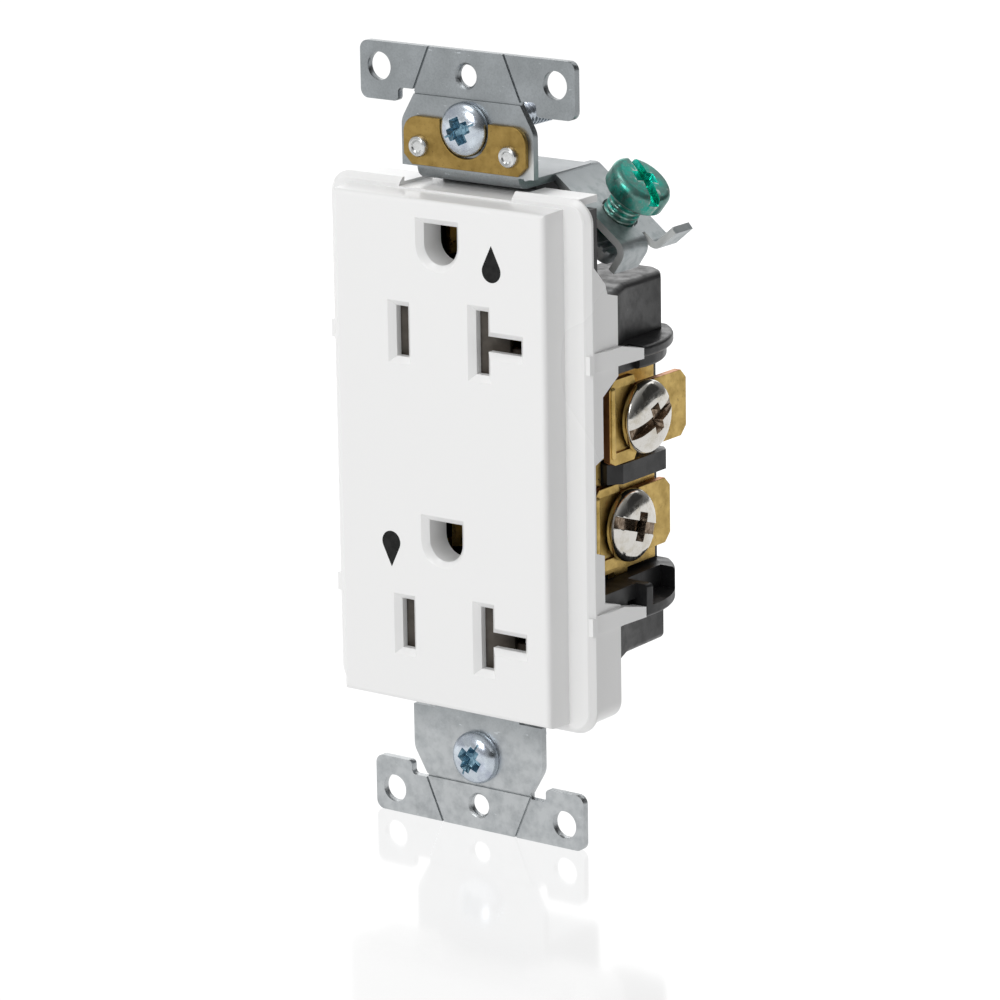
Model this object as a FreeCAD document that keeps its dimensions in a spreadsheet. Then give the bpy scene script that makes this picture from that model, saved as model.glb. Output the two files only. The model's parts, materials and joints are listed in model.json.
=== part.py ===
import FreeCAD, Part
import os
from math import cos, radians, sin

import Sketcher

# A 20 A decorator duplex receptacle, in millimetres.
# X runs across the face, +Y runs back into the wall, +Z runs up.
# The origin is the centre of the rear (wall side) face of the mounting strap.

Vector = FreeCAD.Vector
doc = FreeCAD.newDocument("duplex_receptacle")

# ---------------------------------------------------------------------------
# Driving dimensions: alias, value, meaning
# ---------------------------------------------------------------------------
DIMENSIONS = [
    # mounting strap
    ("strap_thick", 1.0, "sheet thickness of the strap"),
    ("ear_wide", 33.8, "width of each ear"),
    ("ear_tip", 51.7, "height of the ear's outer edge"),
    ("ear_foot", 44.2, "height of the ear's inner edge"),
    ("ear_round", 1.2, "corner radius of the ears"),
    ("foot_round", 0.6, "corner radius of the ears' inner corners and slits"),
    ("shoulder_round", 2.6, "corner radius of the neck's shoulders"),
    ("neck_wide", 20.8, "width of the neck"),
    ("neck_waist", 16.8, "width of the neck where it meets the ear"),
    ("neck_foot", 36.1, "height at which the neck ends and bends back"),
    ("taper_low", 42.0, "height at which the neck starts to narrow"),
    ("taper_high", 45.4, "height at which the neck stops narrowing"),
    ("slit_top", 46.0, "top of the slit between neck and ear"),
    ("slit_out", 10.9, "outer side of the slit between neck and ear"),
    ("ear_hole_across", 27.7, "distance between the clearance holes of an ear"),
    ("ear_hole_up", 48.5, "height of the clearance holes of an ear"),
    ("ear_hole_bore", 3.7, "diameter of the clearance holes of an ear"),
    ("plate_hole_up", 48.42, "height of the wall plate's screw holes, half of 96.84"),
    ("plate_hole_bore", 2.9, "diameter of the wall plate's screw holes"),
    ("plate_hole_flare", 3.5, "outer diameter of their countersinks"),
    ("box_hole_up", 41.67, "height of the mounting screws, half of 83.34"),
    ("box_hole_bore", 4.6, "diameter of the strap's hole for a mounting screw"),
    ("score_wide", 0.35, "width of a break-off score line"),
    ("score_deep", 0.25, "depth of a break-off score line"),
    ("score_up", 45.6, "height of the level score line"),
    ("score_half", 8.4, "half length of the level score line"),
    ("score_tip_half", 5.3, "distance of the slanted score from the centre at the ear's edge"),
    ("shelf_top", 35.5, "upper face of the strap's top plate"),
    ("shelf_half", 8.0, "half width of the strap's top plate"),
    ("shelf_end", 16.4, "depth at which the strap's top plate ends and its back run begins"),
    ("wrap_half", 6.8, "half width of the strap where it wraps round the rear body"),
    ("bend_round", 0.6, "inner radius of the strap's bends"),
    # ground terminal of the strap
    ("slope", 38.0, "angle by which the ground terminal slopes down"),
    ("slope_run", 14.3, "length of the ground terminal along its slope"),
    ("slope_front", 6.8, "depth of the ground terminal's front edge"),
    ("slope_split", 12.5, "depth at which its lip and its wire stop part"),
    ("lip_run", 4.0, "length of the lip that rests on the rear body"),
    ("lip_turn", 86.0, "angle by which the lip is turned under"),
    ("stop_run", 3.6, "height of the wire stop"),
    ("stop_turn", 78.0, "angle by which the wire stop is turned out"),
    ("ground_hole_run", 8.5, "distance of the ground screw down the slope"),
    ("ground_hole_deep", 11.6, "depth of the ground screw"),
    ("ground_hole_bore", 5.2, "diameter of the terminal's hole for the ground screw"),
    # self-grounding clip and its rivets
    ("clip_thick", 0.7, "thickness of the clip"),
    ("clip_half", 9.65, "half width of the clip"),
    ("clip_low", 36.4, "height of the clip's lower edge"),
    ("clip_high", 42.7, "height of the clip's upper edge"),
    ("clip_round", 2.2, "radius of the clip's upper corners"),
    ("clip_bevel", 1.3, "chamfer of the clip's lower corners"),
    ("clip_gap", 3.8, "half width of the clip's fork"),
    ("clip_rivet_across", 7.1, "distance of a clip rivet from the centre"),
    ("clip_rivet_up", 38.9, "height of the clip's rivets"),
    ("rivet_head", 2.8, "diameter of a clip rivet's head"),
    ("rivet_shank", 1.8, "diameter of a clip rivet's shank"),
    ("rivet_rise", 0.7, "height of a clip rivet's head"),
    # mounting screws and their retaining washers
    ("box_head", 7.0, "head diameter of a mounting screw"),
    ("box_head_rise", 2.1, "head height of a mounting screw"),
    ("box_shank", 3.4, "shank diameter of a mounting screw"),
    ("box_length", 18.5, "length of the upper mounting screw under its head"),
    ("box_length_low", 13.6, "length of the lower mounting screw under its head"),
    ("box_slot", 1.1, "width of the head's slot"),
    ("box_slot_deep", 0.9, "depth of the head's slot"),
    ("keeper_out", 7.4, "outer diameter of a retaining washer"),
    ("keeper_in", 3.5, "inner diameter of a retaining washer"),
    ("keeper_thick", 0.9, "thickness of a retaining washer"),
    ("keeper_gap", 2.4, "distance from the strap to a retaining washer"),
    # face cover
    ("face_front", 7.75, "how far the face stands in front of the strap's rear"),
    ("face_half", 16.65, "half width of the raised face"),
    ("face_up", 33.4, "half height of the raised face"),
    ("face_draft", 3.0, "draft of the raised face's sides in degrees"),
    ("face_soft", 0.7, "edge radius of the raised face"),
    ("face_wall", 1.7, "thickness of the face"),
    ("room_half", 15.3, "half width of the room behind the face"),
    ("room_up", 32.0, "half height of the room behind the face"),
    ("flange_front", 3.75, "how far the flange stands in front of the strap's rear"),
    ("flange_half", 20.6, "half width of the flange"),
    ("flange_up", 34.9, "half height of the flange"),
    ("flange_round", 3.2, "corner radius of the flange"),
    ("flange_bevel", 0.8, "chamfer of the flange's front edge"),
    ("flange_inside", 2.2, "depth in front of the strap of the flange's inner face"),
    ("flange_rear", 2.6, "how far the flange's rear face stands in front of the strap's rear"),
    ("skirt_set", 0.6, "how far the skirt stands in from the flange's side"),
    ("skirt_end", 3.4, "depth at which the skirt ends"),
    ("skirt_in", 19.05, "half width inside the skirt"),
    ("skirt_up", 33.4, "half height inside the skirt"),
    ("notch_half", 8.9, "half width of the notch for the strap"),
    ("notch_up", 33.85, "height at which the notch for the strap begins"),
    ("slot_bevel", 0.8, "chamfer of every slot"),
    # outlets
    ("outlet_middle", -3.65, "height midway between the two outlets"),
    ("outlet_apart", 38.9, "distance between the two outlets"),
    ("blade_across", 6.35, "distance of a blade slot from the centre, half of 12.7"),
    ("slot_wide", 1.9, "width of a blade slot"),
    ("hot_slot_tall", 6.65, "height of the line slot"),
    ("neutral_slot_tall", 8.3, "height of the neutral slot"),
    ("tee_reach", 6.1, "reach of the neutral slot's level arm"),
    ("tee_tall", 2.0, "height of the neutral slot's level arm"),
    ("pin_up", 11.9, "height of the ground hole above the blade slots"),
    ("pin_half", 2.62, "half width of the ground hole"),
    ("sleeve_wall", 0.8, "wall thickness of the sleeve behind a ground hole"),
    ("sleeve_back", 3.4, "distance in front of the strap of that sleeve's rear edge"),
    # shutters
    ("tray_half", 15.1, "half width of a shutter tray"),
    ("tray_up", 6.4, "half height of a shutter tray"),
    ("tray_back", 2.2, "distance in front of the strap of the tray's back"),
    ("tray_front", 3.0, "distance in front of the strap of the tray's floor"),
    ("rail_front", 5.95, "distance in front of the strap of the tray's rails"),
    ("rail_thick", 0.8, "thickness of the tray's rails"),
    ("window_ease", 0.3, "how much wider the tray's windows are than the slots, each side"),
    ("slider_left", 11.5, "reach of the shutter to the line side"),
    ("slider_right", 13.0, "reach of the shutter to the neutral side"),
    ("slider_up", 5.3, "half height of the shutter"),
    ("slider_front", 5.85, "distance in front of the strap of the shutter's front"),
    ("slider_back", 3.1, "distance in front of the strap of the shutter's back"),
    ("slider_travel", 3.0, "travel of the shutter"),
    ("slider_window", 2.3, "width of the shutter's windows"),
    ("ramp_floor", 3.5, "distance in front of the strap of the ramps' low ends"),
    ("stop_wall", 14.6, "distance of the tray's spring wall from the centre"),
    ("spring_bore", 2.6, "diameter of the shutter's spring pocket"),
    ("spring_deep", 3.0, "depth of the shutter's spring pocket"),
    ("spring_out", 2.2, "outer diameter of the shutter spring"),
    ("spring_wire", 0.3, "wire diameter of the shutter spring"),
    ("spring_turns", 6.0, "turns of the shutter spring"),
    # rear body
    ("body_middle", -3.2, "height midway between the terminals"),
    ("body_half", 18.9, "half width of the rear body's rim"),
    ("rim_front", 2.1, "distance in front of the strap of the body's rim"),
    ("rim_back", 0.6, "depth at which the body's rim ends"),
    ("rim_up", 33.2, "half height of the rim"),
    ("block_top", 21.6, "height of the body's upper shoulder"),
    ("block_bottom", -27.6, "height of the body's lower shoulder"),
    ("block_half", 16.4, "half width of the body's shoulders"),
    ("block_back", 20.8, "depth of the body"),
    ("block_nose", 4.0, "depth at which the shoulders start to narrow"),
    ("block_wall", 1.2, "wall thickness of the body"),
    ("spine_half", 7.4, "half width of the body's middle column"),
    ("spine_up", 34.45, "half height of the body's middle column"),
    ("cavity_back", 13.65, "depth of the body's cavity"),
    ("cavity_half", 12.6, "half width of the body's cavity"),
    ("hump_half", 11.0, "half width of the raised back"),
    ("hump_up", 24.0, "half height of the raised back"),
    ("hump_back", 22.3, "depth of the raised back"),
    ("barrier_low", 14.2, "inner height of a barrier, from the terminals' middle"),
    ("barrier_high", 17.3, "outer height of a barrier, from the terminals' middle"),
    ("barrier_half", 20.5, "half width across a barrier"),
    ("guard_low", 18.6, "outer height of the lower barrier, from the terminals' middle"),
    ("guard_wall", 3.2, "thickness of the wall behind the lower barrier's trough"),
    ("ledge_thick", 1.5, "thickness of a barrier's plate"),
    ("ledge_lip", 0.8, "how far the upper barrier's plate overhangs its foot"),
    ("divider_half", 17.0, "half width across the divider between terminals"),
    ("divider_tall", 2.6, "thickness of the divider between terminals"),
    ("divider_front", 7.0, "depth at which the divider starts"),
    ("divider_back", 19.2, "depth at which the divider ends"),
    ("recess_half", 13.65, "distance of the terminal recess's wall from the centre"),
    # latch arms
    ("arm_up", 17.1, "height of a latch arm from the terminals' middle"),
    ("arm_half_tall", 1.2, "half height of a latch arm at its root"),
    ("arm_tip_half", 0.7, "half height of a latch arm at its tip"),
    ("arm_drop", 0.65, "how much lower a latch arm's tip is than its root"),
    ("arm_ramp", 3.0, "length over which a latch arm rises from the skirt"),
    ("arm_end", 8.3, "depth of a latch arm's tip"),
    ("arm_in", 19.15, "inner side of a latch arm"),
    ("hook_in", 18.2, "inner side of a latch arm's hook"),
    ("hook_start", 6.7, "depth at which the hook starts"),
    # side terminals
    ("strip_in", 13.7, "distance of a terminal strip's inner face from the centre"),
    ("strip_thick", 1.0, "thickness of a terminal strip"),
    ("strip_front", 5.0, "depth of a terminal strip's front edge"),
    ("strip_back", 18.8, "depth of a terminal strip's rear edge"),
    ("pad_near", 1.9, "inner edge of a terminal pad from the terminals' middle"),
    ("pad_far", 13.6, "outer edge of a terminal pad from the terminals' middle"),
    ("tab_back", 6.7, "depth at which the break-off tab ends"),
    ("leg_front", 9.5, "depth of a strip leg's front edge"),
    ("leg_back", 12.5, "depth of a strip leg's rear edge"),
    ("screw_up", 7.4, "height of a terminal screw from the terminals' middle"),
    ("screw_deep", 11.1, "depth of a terminal screw"),
    ("clamp_thick", 1.0, "thickness of a clamp plate"),
    ("clamp_front", 3.7, "depth of a clamp plate's front edge"),
    ("clamp_waist", 9.7, "depth at which a clamp plate narrows"),
    ("clamp_back", 20.9, "depth of a clamp plate's rear edge"),
    ("clamp_tall", 11.2, "height of a clamp plate's front part"),
    ("clamp_wing", 8.8, "height of a clamp plate's rear wing"),
    ("clamp_lift", 0.3, "height of a clamp plate's front part above its screw"),
    ("clamp_bevel", 1.2, "corner chamfer of a clamp plate"),
    ("clamp_dish", 0.35, "depth of a clamp plate's dish"),
    ("clamp_rim", 0.9, "width of the rim round a clamp plate's dish"),
    ("clamp_rest", 0.06, "gap between a closed clamp plate and its strip"),
    ("clamp_open", 2.6, "how far an open clamp plate stands out"),
    ("term_head", 9.6, "head diameter of a terminal screw"),
    ("term_head_rise", 2.4, "head height of a terminal screw"),
    ("term_shank", 4.7, "shank diameter of a terminal screw"),
    ("term_bore", 4.84, "diameter of the holes that a terminal screw turns in"),
    ("term_length", 8.0, "length of a terminal screw under its head"),
    ("term_slot", 1.3, "width of the head's slot"),
    ("term_slot_deep", 1.1, "depth of the head's slot"),
    ("head_gap", 0.03, "gap between a screw's head and what it bears on"),
    # ground screw and clamp
    ("ground_head", 8.4, "head diameter of the ground screw"),
    ("ground_head_rise", 3.2, "head height of the ground screw"),
    ("ground_stand", 3.3, "how far the ground screw's head stands off its terminal"),
    ("ground_length", 9.7, "length of the ground screw under its head"),
    ("ground_plate_gap", 1.7, "gap between the ground terminal and its clamp plate"),
    ("ground_plate_thick", 1.8, "thickness of the ground clamp plate"),
    ("ground_plate_run", 8.0, "length of the ground clamp plate along the slope"),
    ("ground_plate_wide", 9.0, "width of the ground clamp plate"),
    # contacts
    ("leaf_thick", 0.6, "thickness of a contact leaf"),
    ("leaf_gap", 0.75, "half gap of a blade contact"),
    ("leaf_flare", 1.0, "how far a contact's mouth flares"),
    ("leaf_mouth", 0.5, "how far a contact's mouth stands in front of the strap"),
    ("leaf_throat", 1.2, "depth at which a contact's mouth has closed"),
    ("leaf_up", 3.2, "half height of a blade contact"),
    ("web_front", 11.0, "depth at which a blade contact's web starts"),
    ("web_back", 11.8, "depth at which a blade contact's web ends"),
    ("pin_gap", 2.35, "half gap of a ground contact"),
    ("pin_leaf_up", 2.6, "half height of a ground contact"),
    ("pin_web_front", 12.8, "depth at which a ground contact's web starts"),
    ("pin_web_back", 13.6, "depth at which a ground contact's web ends"),
    ("pin_tab_drop", 8.0, "how far a ground contact's tab reaches below its middle"),
    ("pin_rivet_drop", 5.4, "distance of a ground rivet below its contact's middle"),
    ("pin_rivet_shank", 2.4, "shank diameter of a ground rivet"),
    ("pin_rivet_head", 4.2, "head diameter of a ground rivet"),
    ("pin_rivet_rise", 0.8, "height of a ground rivet's head"),
    ("channel_ease", 0.1, "play of the strap's back run in the rear body's channel"),
    ("fit_gap", 0.2, "gap between a piece and the room made for it"),
    ("mould_join", 0.5, "how far two parts of one piece run into each other"),
    ("lip_relief", 0.6, "width of the cut between the ground terminal's lip and its wire stop"),
    ("dome_share", 0.7, "share of a head's rise that is domed"),
    ("cross_share", 0.22, "half length of a screw's short slot, as a share of its head"),
    ("cross_deepen", 1.3, "depth of a screw's short slot, as a share of the long slot's"),
    ("tooth_pitch", 1.0, "spacing of the grooves across the ground clamp plate"),
    ("tooth_half", 0.25, "half width of those grooves"),
    ("tooth_deep", 0.35, "depth of those grooves"),
    ("slot_through", 3.0, "thickness that a slot's straight cutter passes through"),
    ("hook_join", 0.1, "how far a latch hook runs into its arm"),
    ("hook_room", 0.25, "gap behind a latch arm's tip"),
    ("gap_top", 14.4, "top of the skirt's terminal opening above the body's middle"),
    ("gap_top_lean", 2.1, "how far that opening's top edge leans down toward the front"),
    ("gap_bottom", 15.7, "bottom of the skirt's terminal opening below the body's middle"),
    ("gap_bottom_lean", 1.0, "how far that opening's bottom edge leans up toward the front"),
    ("notch_top", 4.4, "top of the opening's deep notch above the body's middle"),
    ("notch_bottom", 8.4, "bottom of the deep notch below the body's middle"),
    ("notch_lean", 0.8, "how far the deep notch narrows toward the front at each end"),
    ("corner_start", 21.6, "height at which the skirt's corner opening starts"),
    ("corner_lean", 0.6, "how far that opening's lower edge rises toward the front"),
    ("corner_knee", 23.6, "height of the bend in the corner opening"),
    ("corner_knee_deep", 0.7, "depth of that bend behind the strap's front"),
    ("corner_high", 26.1, "height where the corner opening meets the flange's rear face"),
    ("corner_deep", 1.7, "how far in front of the skirt's root the corner opening ends"),
    ("draft_spread", 0.25, "how much wider than its front the raised face's base is, per side"),
    ("ramp_lap", 0.1, "how far a shutter's ramp cut runs into its window"),
    ("spring_gap", 0.05, "gap between a shutter spring and what it bears on"),
    ("bulge_in", 0.55, "how far in from its side a barrier's curve passes"),
    ("bulge_deep", 6.4, "how far behind the latch arms that point is"),
    ("barrier_tail_in", 4.6, "how far in from its side a barrier's rear corner is"),
    ("barrier_round", 0.5, "rounding of a barrier's curved rim"),
    ("shoulder_flare", 0.2, "how much wider than its rear the body's block is at the shoulder"),
    ("shoulder_run", 6.0, "depth over which the body's nose widens"),
    ("tail_run", 2.6, "depth of the body's rounded rear corner"),
    ("tail_side_in", 1.2, "how far in the corner's middle point is"),
    ("tail_side_deep", 0.9, "how far in front of the rear face that point is"),
    ("tail_in", 2.6, "how far in the rear corner's last point is"),
    ("body_round", 0.9, "rounding of the body's top and bottom edges"),
    ("hump_round", 1.0, "rounding of the rear ribs' edges"),
    ("screw_room", 6.0, "distance from the middle at which a terminal screw's room ends"),
    ("divider_bevel", 1.5, "bevel of the divider's front corner"),
    ("divider_back_bevel", 1.0, "bevel of the divider's rear corner"),
    ("dish_low", 1.6, "rim left under a clamp plate's dish"),
    ("dish_high", 1.2, "rim left above a clamp plate's dish"),
    ("slit_wide", 0.6, "width of the slits between a clamp plate's front and its wing"),
    ("slit_long", 0.9, "length of those slits"),
]


# ---------------------------------------------------------------------------
# Sizes: numbers that remember the expression that binds them to the sheet
# ---------------------------------------------------------------------------
class Size:
    """A length worked out from the sheet, with its value and its expression."""

    def __init__(self, value, text):
        self.value = float(value)
        self.text = text

    def __add__(self, other):
        other = size(other)
        return Size(self.value + other.value, f"({self.text} + {other.text})")

    def __radd__(self, other):
        return size(other) + self

    def __sub__(self, other):
        other = size(other)
        return Size(self.value - other.value, f"({self.text} - {other.text})")

    def __rsub__(self, other):
        return size(other) - self

    def __mul__(self, other):
        other = size(other)
        return Size(self.value * other.value, f"({self.text} * {other.text})")

    def __rmul__(self, other):
        return size(other) * self

    def __truediv__(self, other):
        other = size(other)
        return Size(self.value / other.value, f"({self.text} / {other.text})")

    def __neg__(self):
        return Size(-self.value, f"(0 - {self.text})")

    def __float__(self):
        return self.value


def size(thing):
    """The thing itself when it is a Size, or a Size made from a plain number."""
    if isinstance(thing, Size):
        return thing
    return Size(thing, repr(float(thing)))


class Sheet:
    """The spreadsheet of driving dimensions, read by alias."""

    def __init__(self, rows):
        self.table = doc.addObject("Spreadsheet::Sheet", "Dims")
        self.sizes = {}
        for number, (alias, value, meaning) in enumerate(rows, start=1):
            self.table.set(f"A{number}", meaning)
            self.table.set(f"B{number}", repr(value))
            self.table.setAlias(f"B{number}", alias)
            self.sizes[alias] = Size(value, f"Dims.{alias}")
        doc.recompute()

    def __getattr__(self, alias):
        return self.sizes[alias]


d = Sheet(DIMENSIONS)


# ---------------------------------------------------------------------------
# Building blocks
# ---------------------------------------------------------------------------
PLANES = {"XY": "XY_Plane", "XZ": "XZ_Plane", "YZ": "YZ_Plane"}
TURN_FROM_Z = {
    "+X": FreeCAD.Rotation(Vector(0, 1, 0), 90),
    "-X": FreeCAD.Rotation(Vector(0, 1, 0), -90),
    "+Y": FreeCAD.Rotation(Vector(1, 0, 0), -90),
    "-Y": FreeCAD.Rotation(Vector(1, 0, 0), 90),
    "+Z": FreeCAD.Rotation(),
    "-Z": FreeCAD.Rotation(Vector(1, 0, 0), 180),
}
OVERCUT = 1.0       # how far a cutting tool runs past the face it opens
TOLERANCE = 0.02    # how near two positions are to count as the same


def bind(item, property_path, length):
    item.setExpression(property_path, size(length).text)


def place(item, x, y, z):
    for axis, length in zip("xyz", (x, y, z)):
        bind(item, f".Placement.Base.{axis}", length)


def box(name, x_span, y_span, z_span):
    """A block between two corners."""
    item = doc.addObject("Part::Box", name)
    spans = (x_span, y_span, z_span)
    for side, (low, high) in zip(("Length", "Width", "Height"), spans):
        bind(item, side, size(high) - low)
    place(item, *[low for low, high in spans])
    return item


def rod(name, direction, diameter, length, x, y, z):
    """A cylinder that starts at a point and runs in a direction."""
    item = doc.addObject("Part::Cylinder", name)
    bind(item, "Radius", size(diameter) / 2)
    bind(item, "Height", length)
    item.Placement = FreeCAD.Placement(Vector(), TURN_FROM_Z[direction])
    place(item, x, y, z)
    return item


def polygon(sketch, points):
    """A closed outline of straight lines, with every corner bound to the sheet."""
    corners = [(size(across), size(up)) for across, up in points]
    count = len(corners)
    for index, (across, up) in enumerate(corners):
        next_across, next_up = corners[(index + 1) % count]
        start = Vector(across.value, up.value, 0)
        end = Vector(next_across.value, next_up.value, 0)
        sketch.addGeometry(Part.LineSegment(start, end))
    for index in range(count):
        following = (index + 1) % count
        sketch.addConstraint(Sketcher.Constraint("Coincident", index, 2, following, 1))
    for index, corner in enumerate(corners):
        for kind, letter, length in zip(("DistanceX", "DistanceY"), "uv", corner):
            constraint = Sketcher.Constraint(kind, -1, 1, index, 1, length.value)
            place_in_list = sketch.addConstraint(constraint)
            name = f"{letter}{index}"
            sketch.renameConstraint(place_in_list, name)
            sketch.setExpression(f"Constraints.{name}", length.text)


def arch(sketch, half, top):
    """A closed outline with a flat top and a half-round bottom, centred on the sketch."""
    half = size(half)
    top = size(top)
    left_top = Vector(-half.value, top.value, 0)
    right_top = Vector(half.value, top.value, 0)
    left = Vector(-half.value, 0, 0)
    right = Vector(half.value, 0, 0)
    sketch.addGeometry(Part.LineSegment(right, right_top))
    sketch.addGeometry(Part.LineSegment(right_top, left_top))
    sketch.addGeometry(Part.LineSegment(left_top, left))
    circle = Part.Circle(Vector(), Vector(0, 0, 1), half.value)
    sketch.addGeometry(Part.ArcOfCircle(circle, radians(180), radians(360)))
    for first, first_end, second, second_end in ((0, 2, 1, 1), (1, 2, 2, 1), (2, 2, 3, 1), (3, 2, 0, 1)):
        sketch.addConstraint(Sketcher.Constraint("Coincident", first, first_end, second, second_end))
    sketch.addConstraint(Sketcher.Constraint("Coincident", 3, 3, -1, 1))
    sketch.addConstraint(Sketcher.Constraint("Vertical", 0))
    sketch.addConstraint(Sketcher.Constraint("Vertical", 2))
    sketch.addConstraint(Sketcher.Constraint("Horizontal", 1))
    radius = sketch.addConstraint(Sketcher.Constraint("Radius", 3, half.value))
    sketch.renameConstraint(radius, "half")
    sketch.setExpression("Constraints.half", half.text)
    height = sketch.addConstraint(Sketcher.Constraint("DistanceY", -1, 1, 0, 2, top.value))
    sketch.renameConstraint(height, "top")
    sketch.setExpression("Constraints.top", top.text)
    sketch.addConstraint(Sketcher.Constraint("PointOnObject", 0, 1, -1))
    sketch.addConstraint(Sketcher.Constraint("PointOnObject", 2, 2, -1))


def pad(name, plane, start, length, outline, draw=polygon, taper=0.0):
    """A sketched outline raised off a plane that lies at a distance along the plane's normal.

    The normals are +Z for XY, -Y for XZ and +X for YZ.
    """
    body = doc.addObject("PartDesign::Body", name)
    sketch = body.newObject("Sketcher::SketchObject", f"{name}_outline")
    wanted = [item for item in body.Origin.OriginFeatures if item.Role == PLANES[plane]]
    sketch.AttachmentSupport = [(wanted[0], "")]
    sketch.MapMode = "FlatFace"
    bind(sketch, ".AttachmentOffset.Base.z", start)
    if draw is polygon:
        polygon(sketch, outline)
    else:
        draw(sketch, *outline)
    raised = body.newObject("PartDesign::Pad", f"{name}_pad")
    raised.Profile = sketch
    bind(raised, "Length", length)
    if taper:
        raised.TaperAngle = taper
    return body


def shift(item, x, y, z):
    """Moves a finished item by lengths from the sheet."""
    place(item, x, y, z)
    return item


def cut(name, base, *tools):
    tool = tools[0]
    if len(tools) > 1:
        tool = fuse(f"{name}_tools", *tools)
    item = doc.addObject("Part::Cut", name)
    item.Base = base
    item.Tool = tool
    return item


def fuse(name, *items):
    item = doc.addObject("Part::MultiFuse", name)
    item.Shapes = list(items)
    item.Refine = True
    return item


def overlap(name, first, second):
    item = doc.addObject("Part::Common", name)
    item.Base = first
    item.Tool = second
    return item


def soften(name, base, kind, radius, chosen):
    """Fillets or chamfers the edges of an item that a test chooses."""
    doc.recompute()
    item = doc.addObject(f"Part::{kind}", name)
    item.Base = base
    reach = float(radius)
    edges = [index for index, edge in enumerate(base.Shape.Edges, start=1) if chosen(edge)]
    if not edges:
        raise ValueError(f"{name}: no edge was chosen")
    item.Edges = [(index, reach, reach) for index in edges]
    return item


def runs_along(edge, axis):
    """True for a straight edge parallel to an axis."""
    if edge.Curve.TypeId != "Part::GeomLine":
        return False
    return abs(abs(edge.Curve.Direction.dot(axis)) - 1) < 1e-6


def middle(edge):
    return edge.BoundBox.Center


def near(value, target):
    return abs(value - float(target)) < TOLERANCE


def made(name, shape):
    """A feature whose shape is made here from the sheet's values."""
    item = doc.addObject("Part::Feature", name)
    item.Shape = shape
    return item


def folded(path, thickness, round_in, low, high):
    """A strip of sheet metal in the XZ plane, folded along a path of its outer face.

    The sheet lies to the right of the path as it is walked.
    """
    thickness = float(thickness)
    points = [Vector(x, 0, z) for x, z in path]
    runs = [(end - start).normalize() for start, end in zip(points, points[1:])]
    insides = [Vector(run.z, 0, -run.x) for run in runs]
    inner = [points[0] + insides[0] * thickness]
    for index in range(1, len(points) - 1):
        between = insides[index - 1] + insides[index]
        inner.append(points[index] + between * (thickness / (1 + insides[index - 1].dot(insides[index]))))
    inner.append(points[-1] + insides[-1] * thickness)
    wire = Part.makePolygon(points + inner[::-1] + points[:1])
    solid = Part.Face(wire).extrude(Vector(0, float(high) - float(low), 0))
    solid.translate(Vector(0, float(low), 0))
    for index in range(1, len(points) - 1):
        corners = {}
        for edge in solid.Edges:
            if not runs_along(edge, Vector(0, 1, 0)):
                continue
            spot = edge.BoundBox.Center
            for label, target in (("outer", points[index]), ("inner", inner[index])):
                if near(spot.x, target.x) and near(spot.z, target.z):
                    corners[label] = edge
        turn = insides[index - 1].cross(insides[index]).y
        radii = {"outer": float(round_in) + thickness, "inner": float(round_in)}
        if turn < 0:
            radii = {"outer": float(round_in), "inner": float(round_in) + thickness}
        for label, edge in corners.items():
            solid = solid.makeFillet(radii[label], [find_edge(solid, edge)])
    return solid


def find_edge(solid, wanted):
    """The edge of a solid that has the same middle as another edge."""
    spot = wanted.BoundBox.Center
    return min(solid.Edges, key=lambda edge: (edge.BoundBox.Center - spot).Length)


# ---------------------------------------------------------------------------
# Heights of the two outlets and of the four side terminals
# ---------------------------------------------------------------------------
OUTLETS = {
    "upper": d.outlet_middle + d.outlet_apart / 2,
    "lower": d.outlet_middle - d.outlet_apart / 2,
}
LEVELS = {"upper": 1, "lower": -1}
SIDES = {"neutral": 1, "hot": -1}
strap_front = -d.strap_thick


def terminal_height(level):
    return d.body_middle + LEVELS[level] * d.screw_up


def pin_rivet_height(level):
    return OUTLETS[level] + d.pin_up - d.pin_rivet_drop


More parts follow.
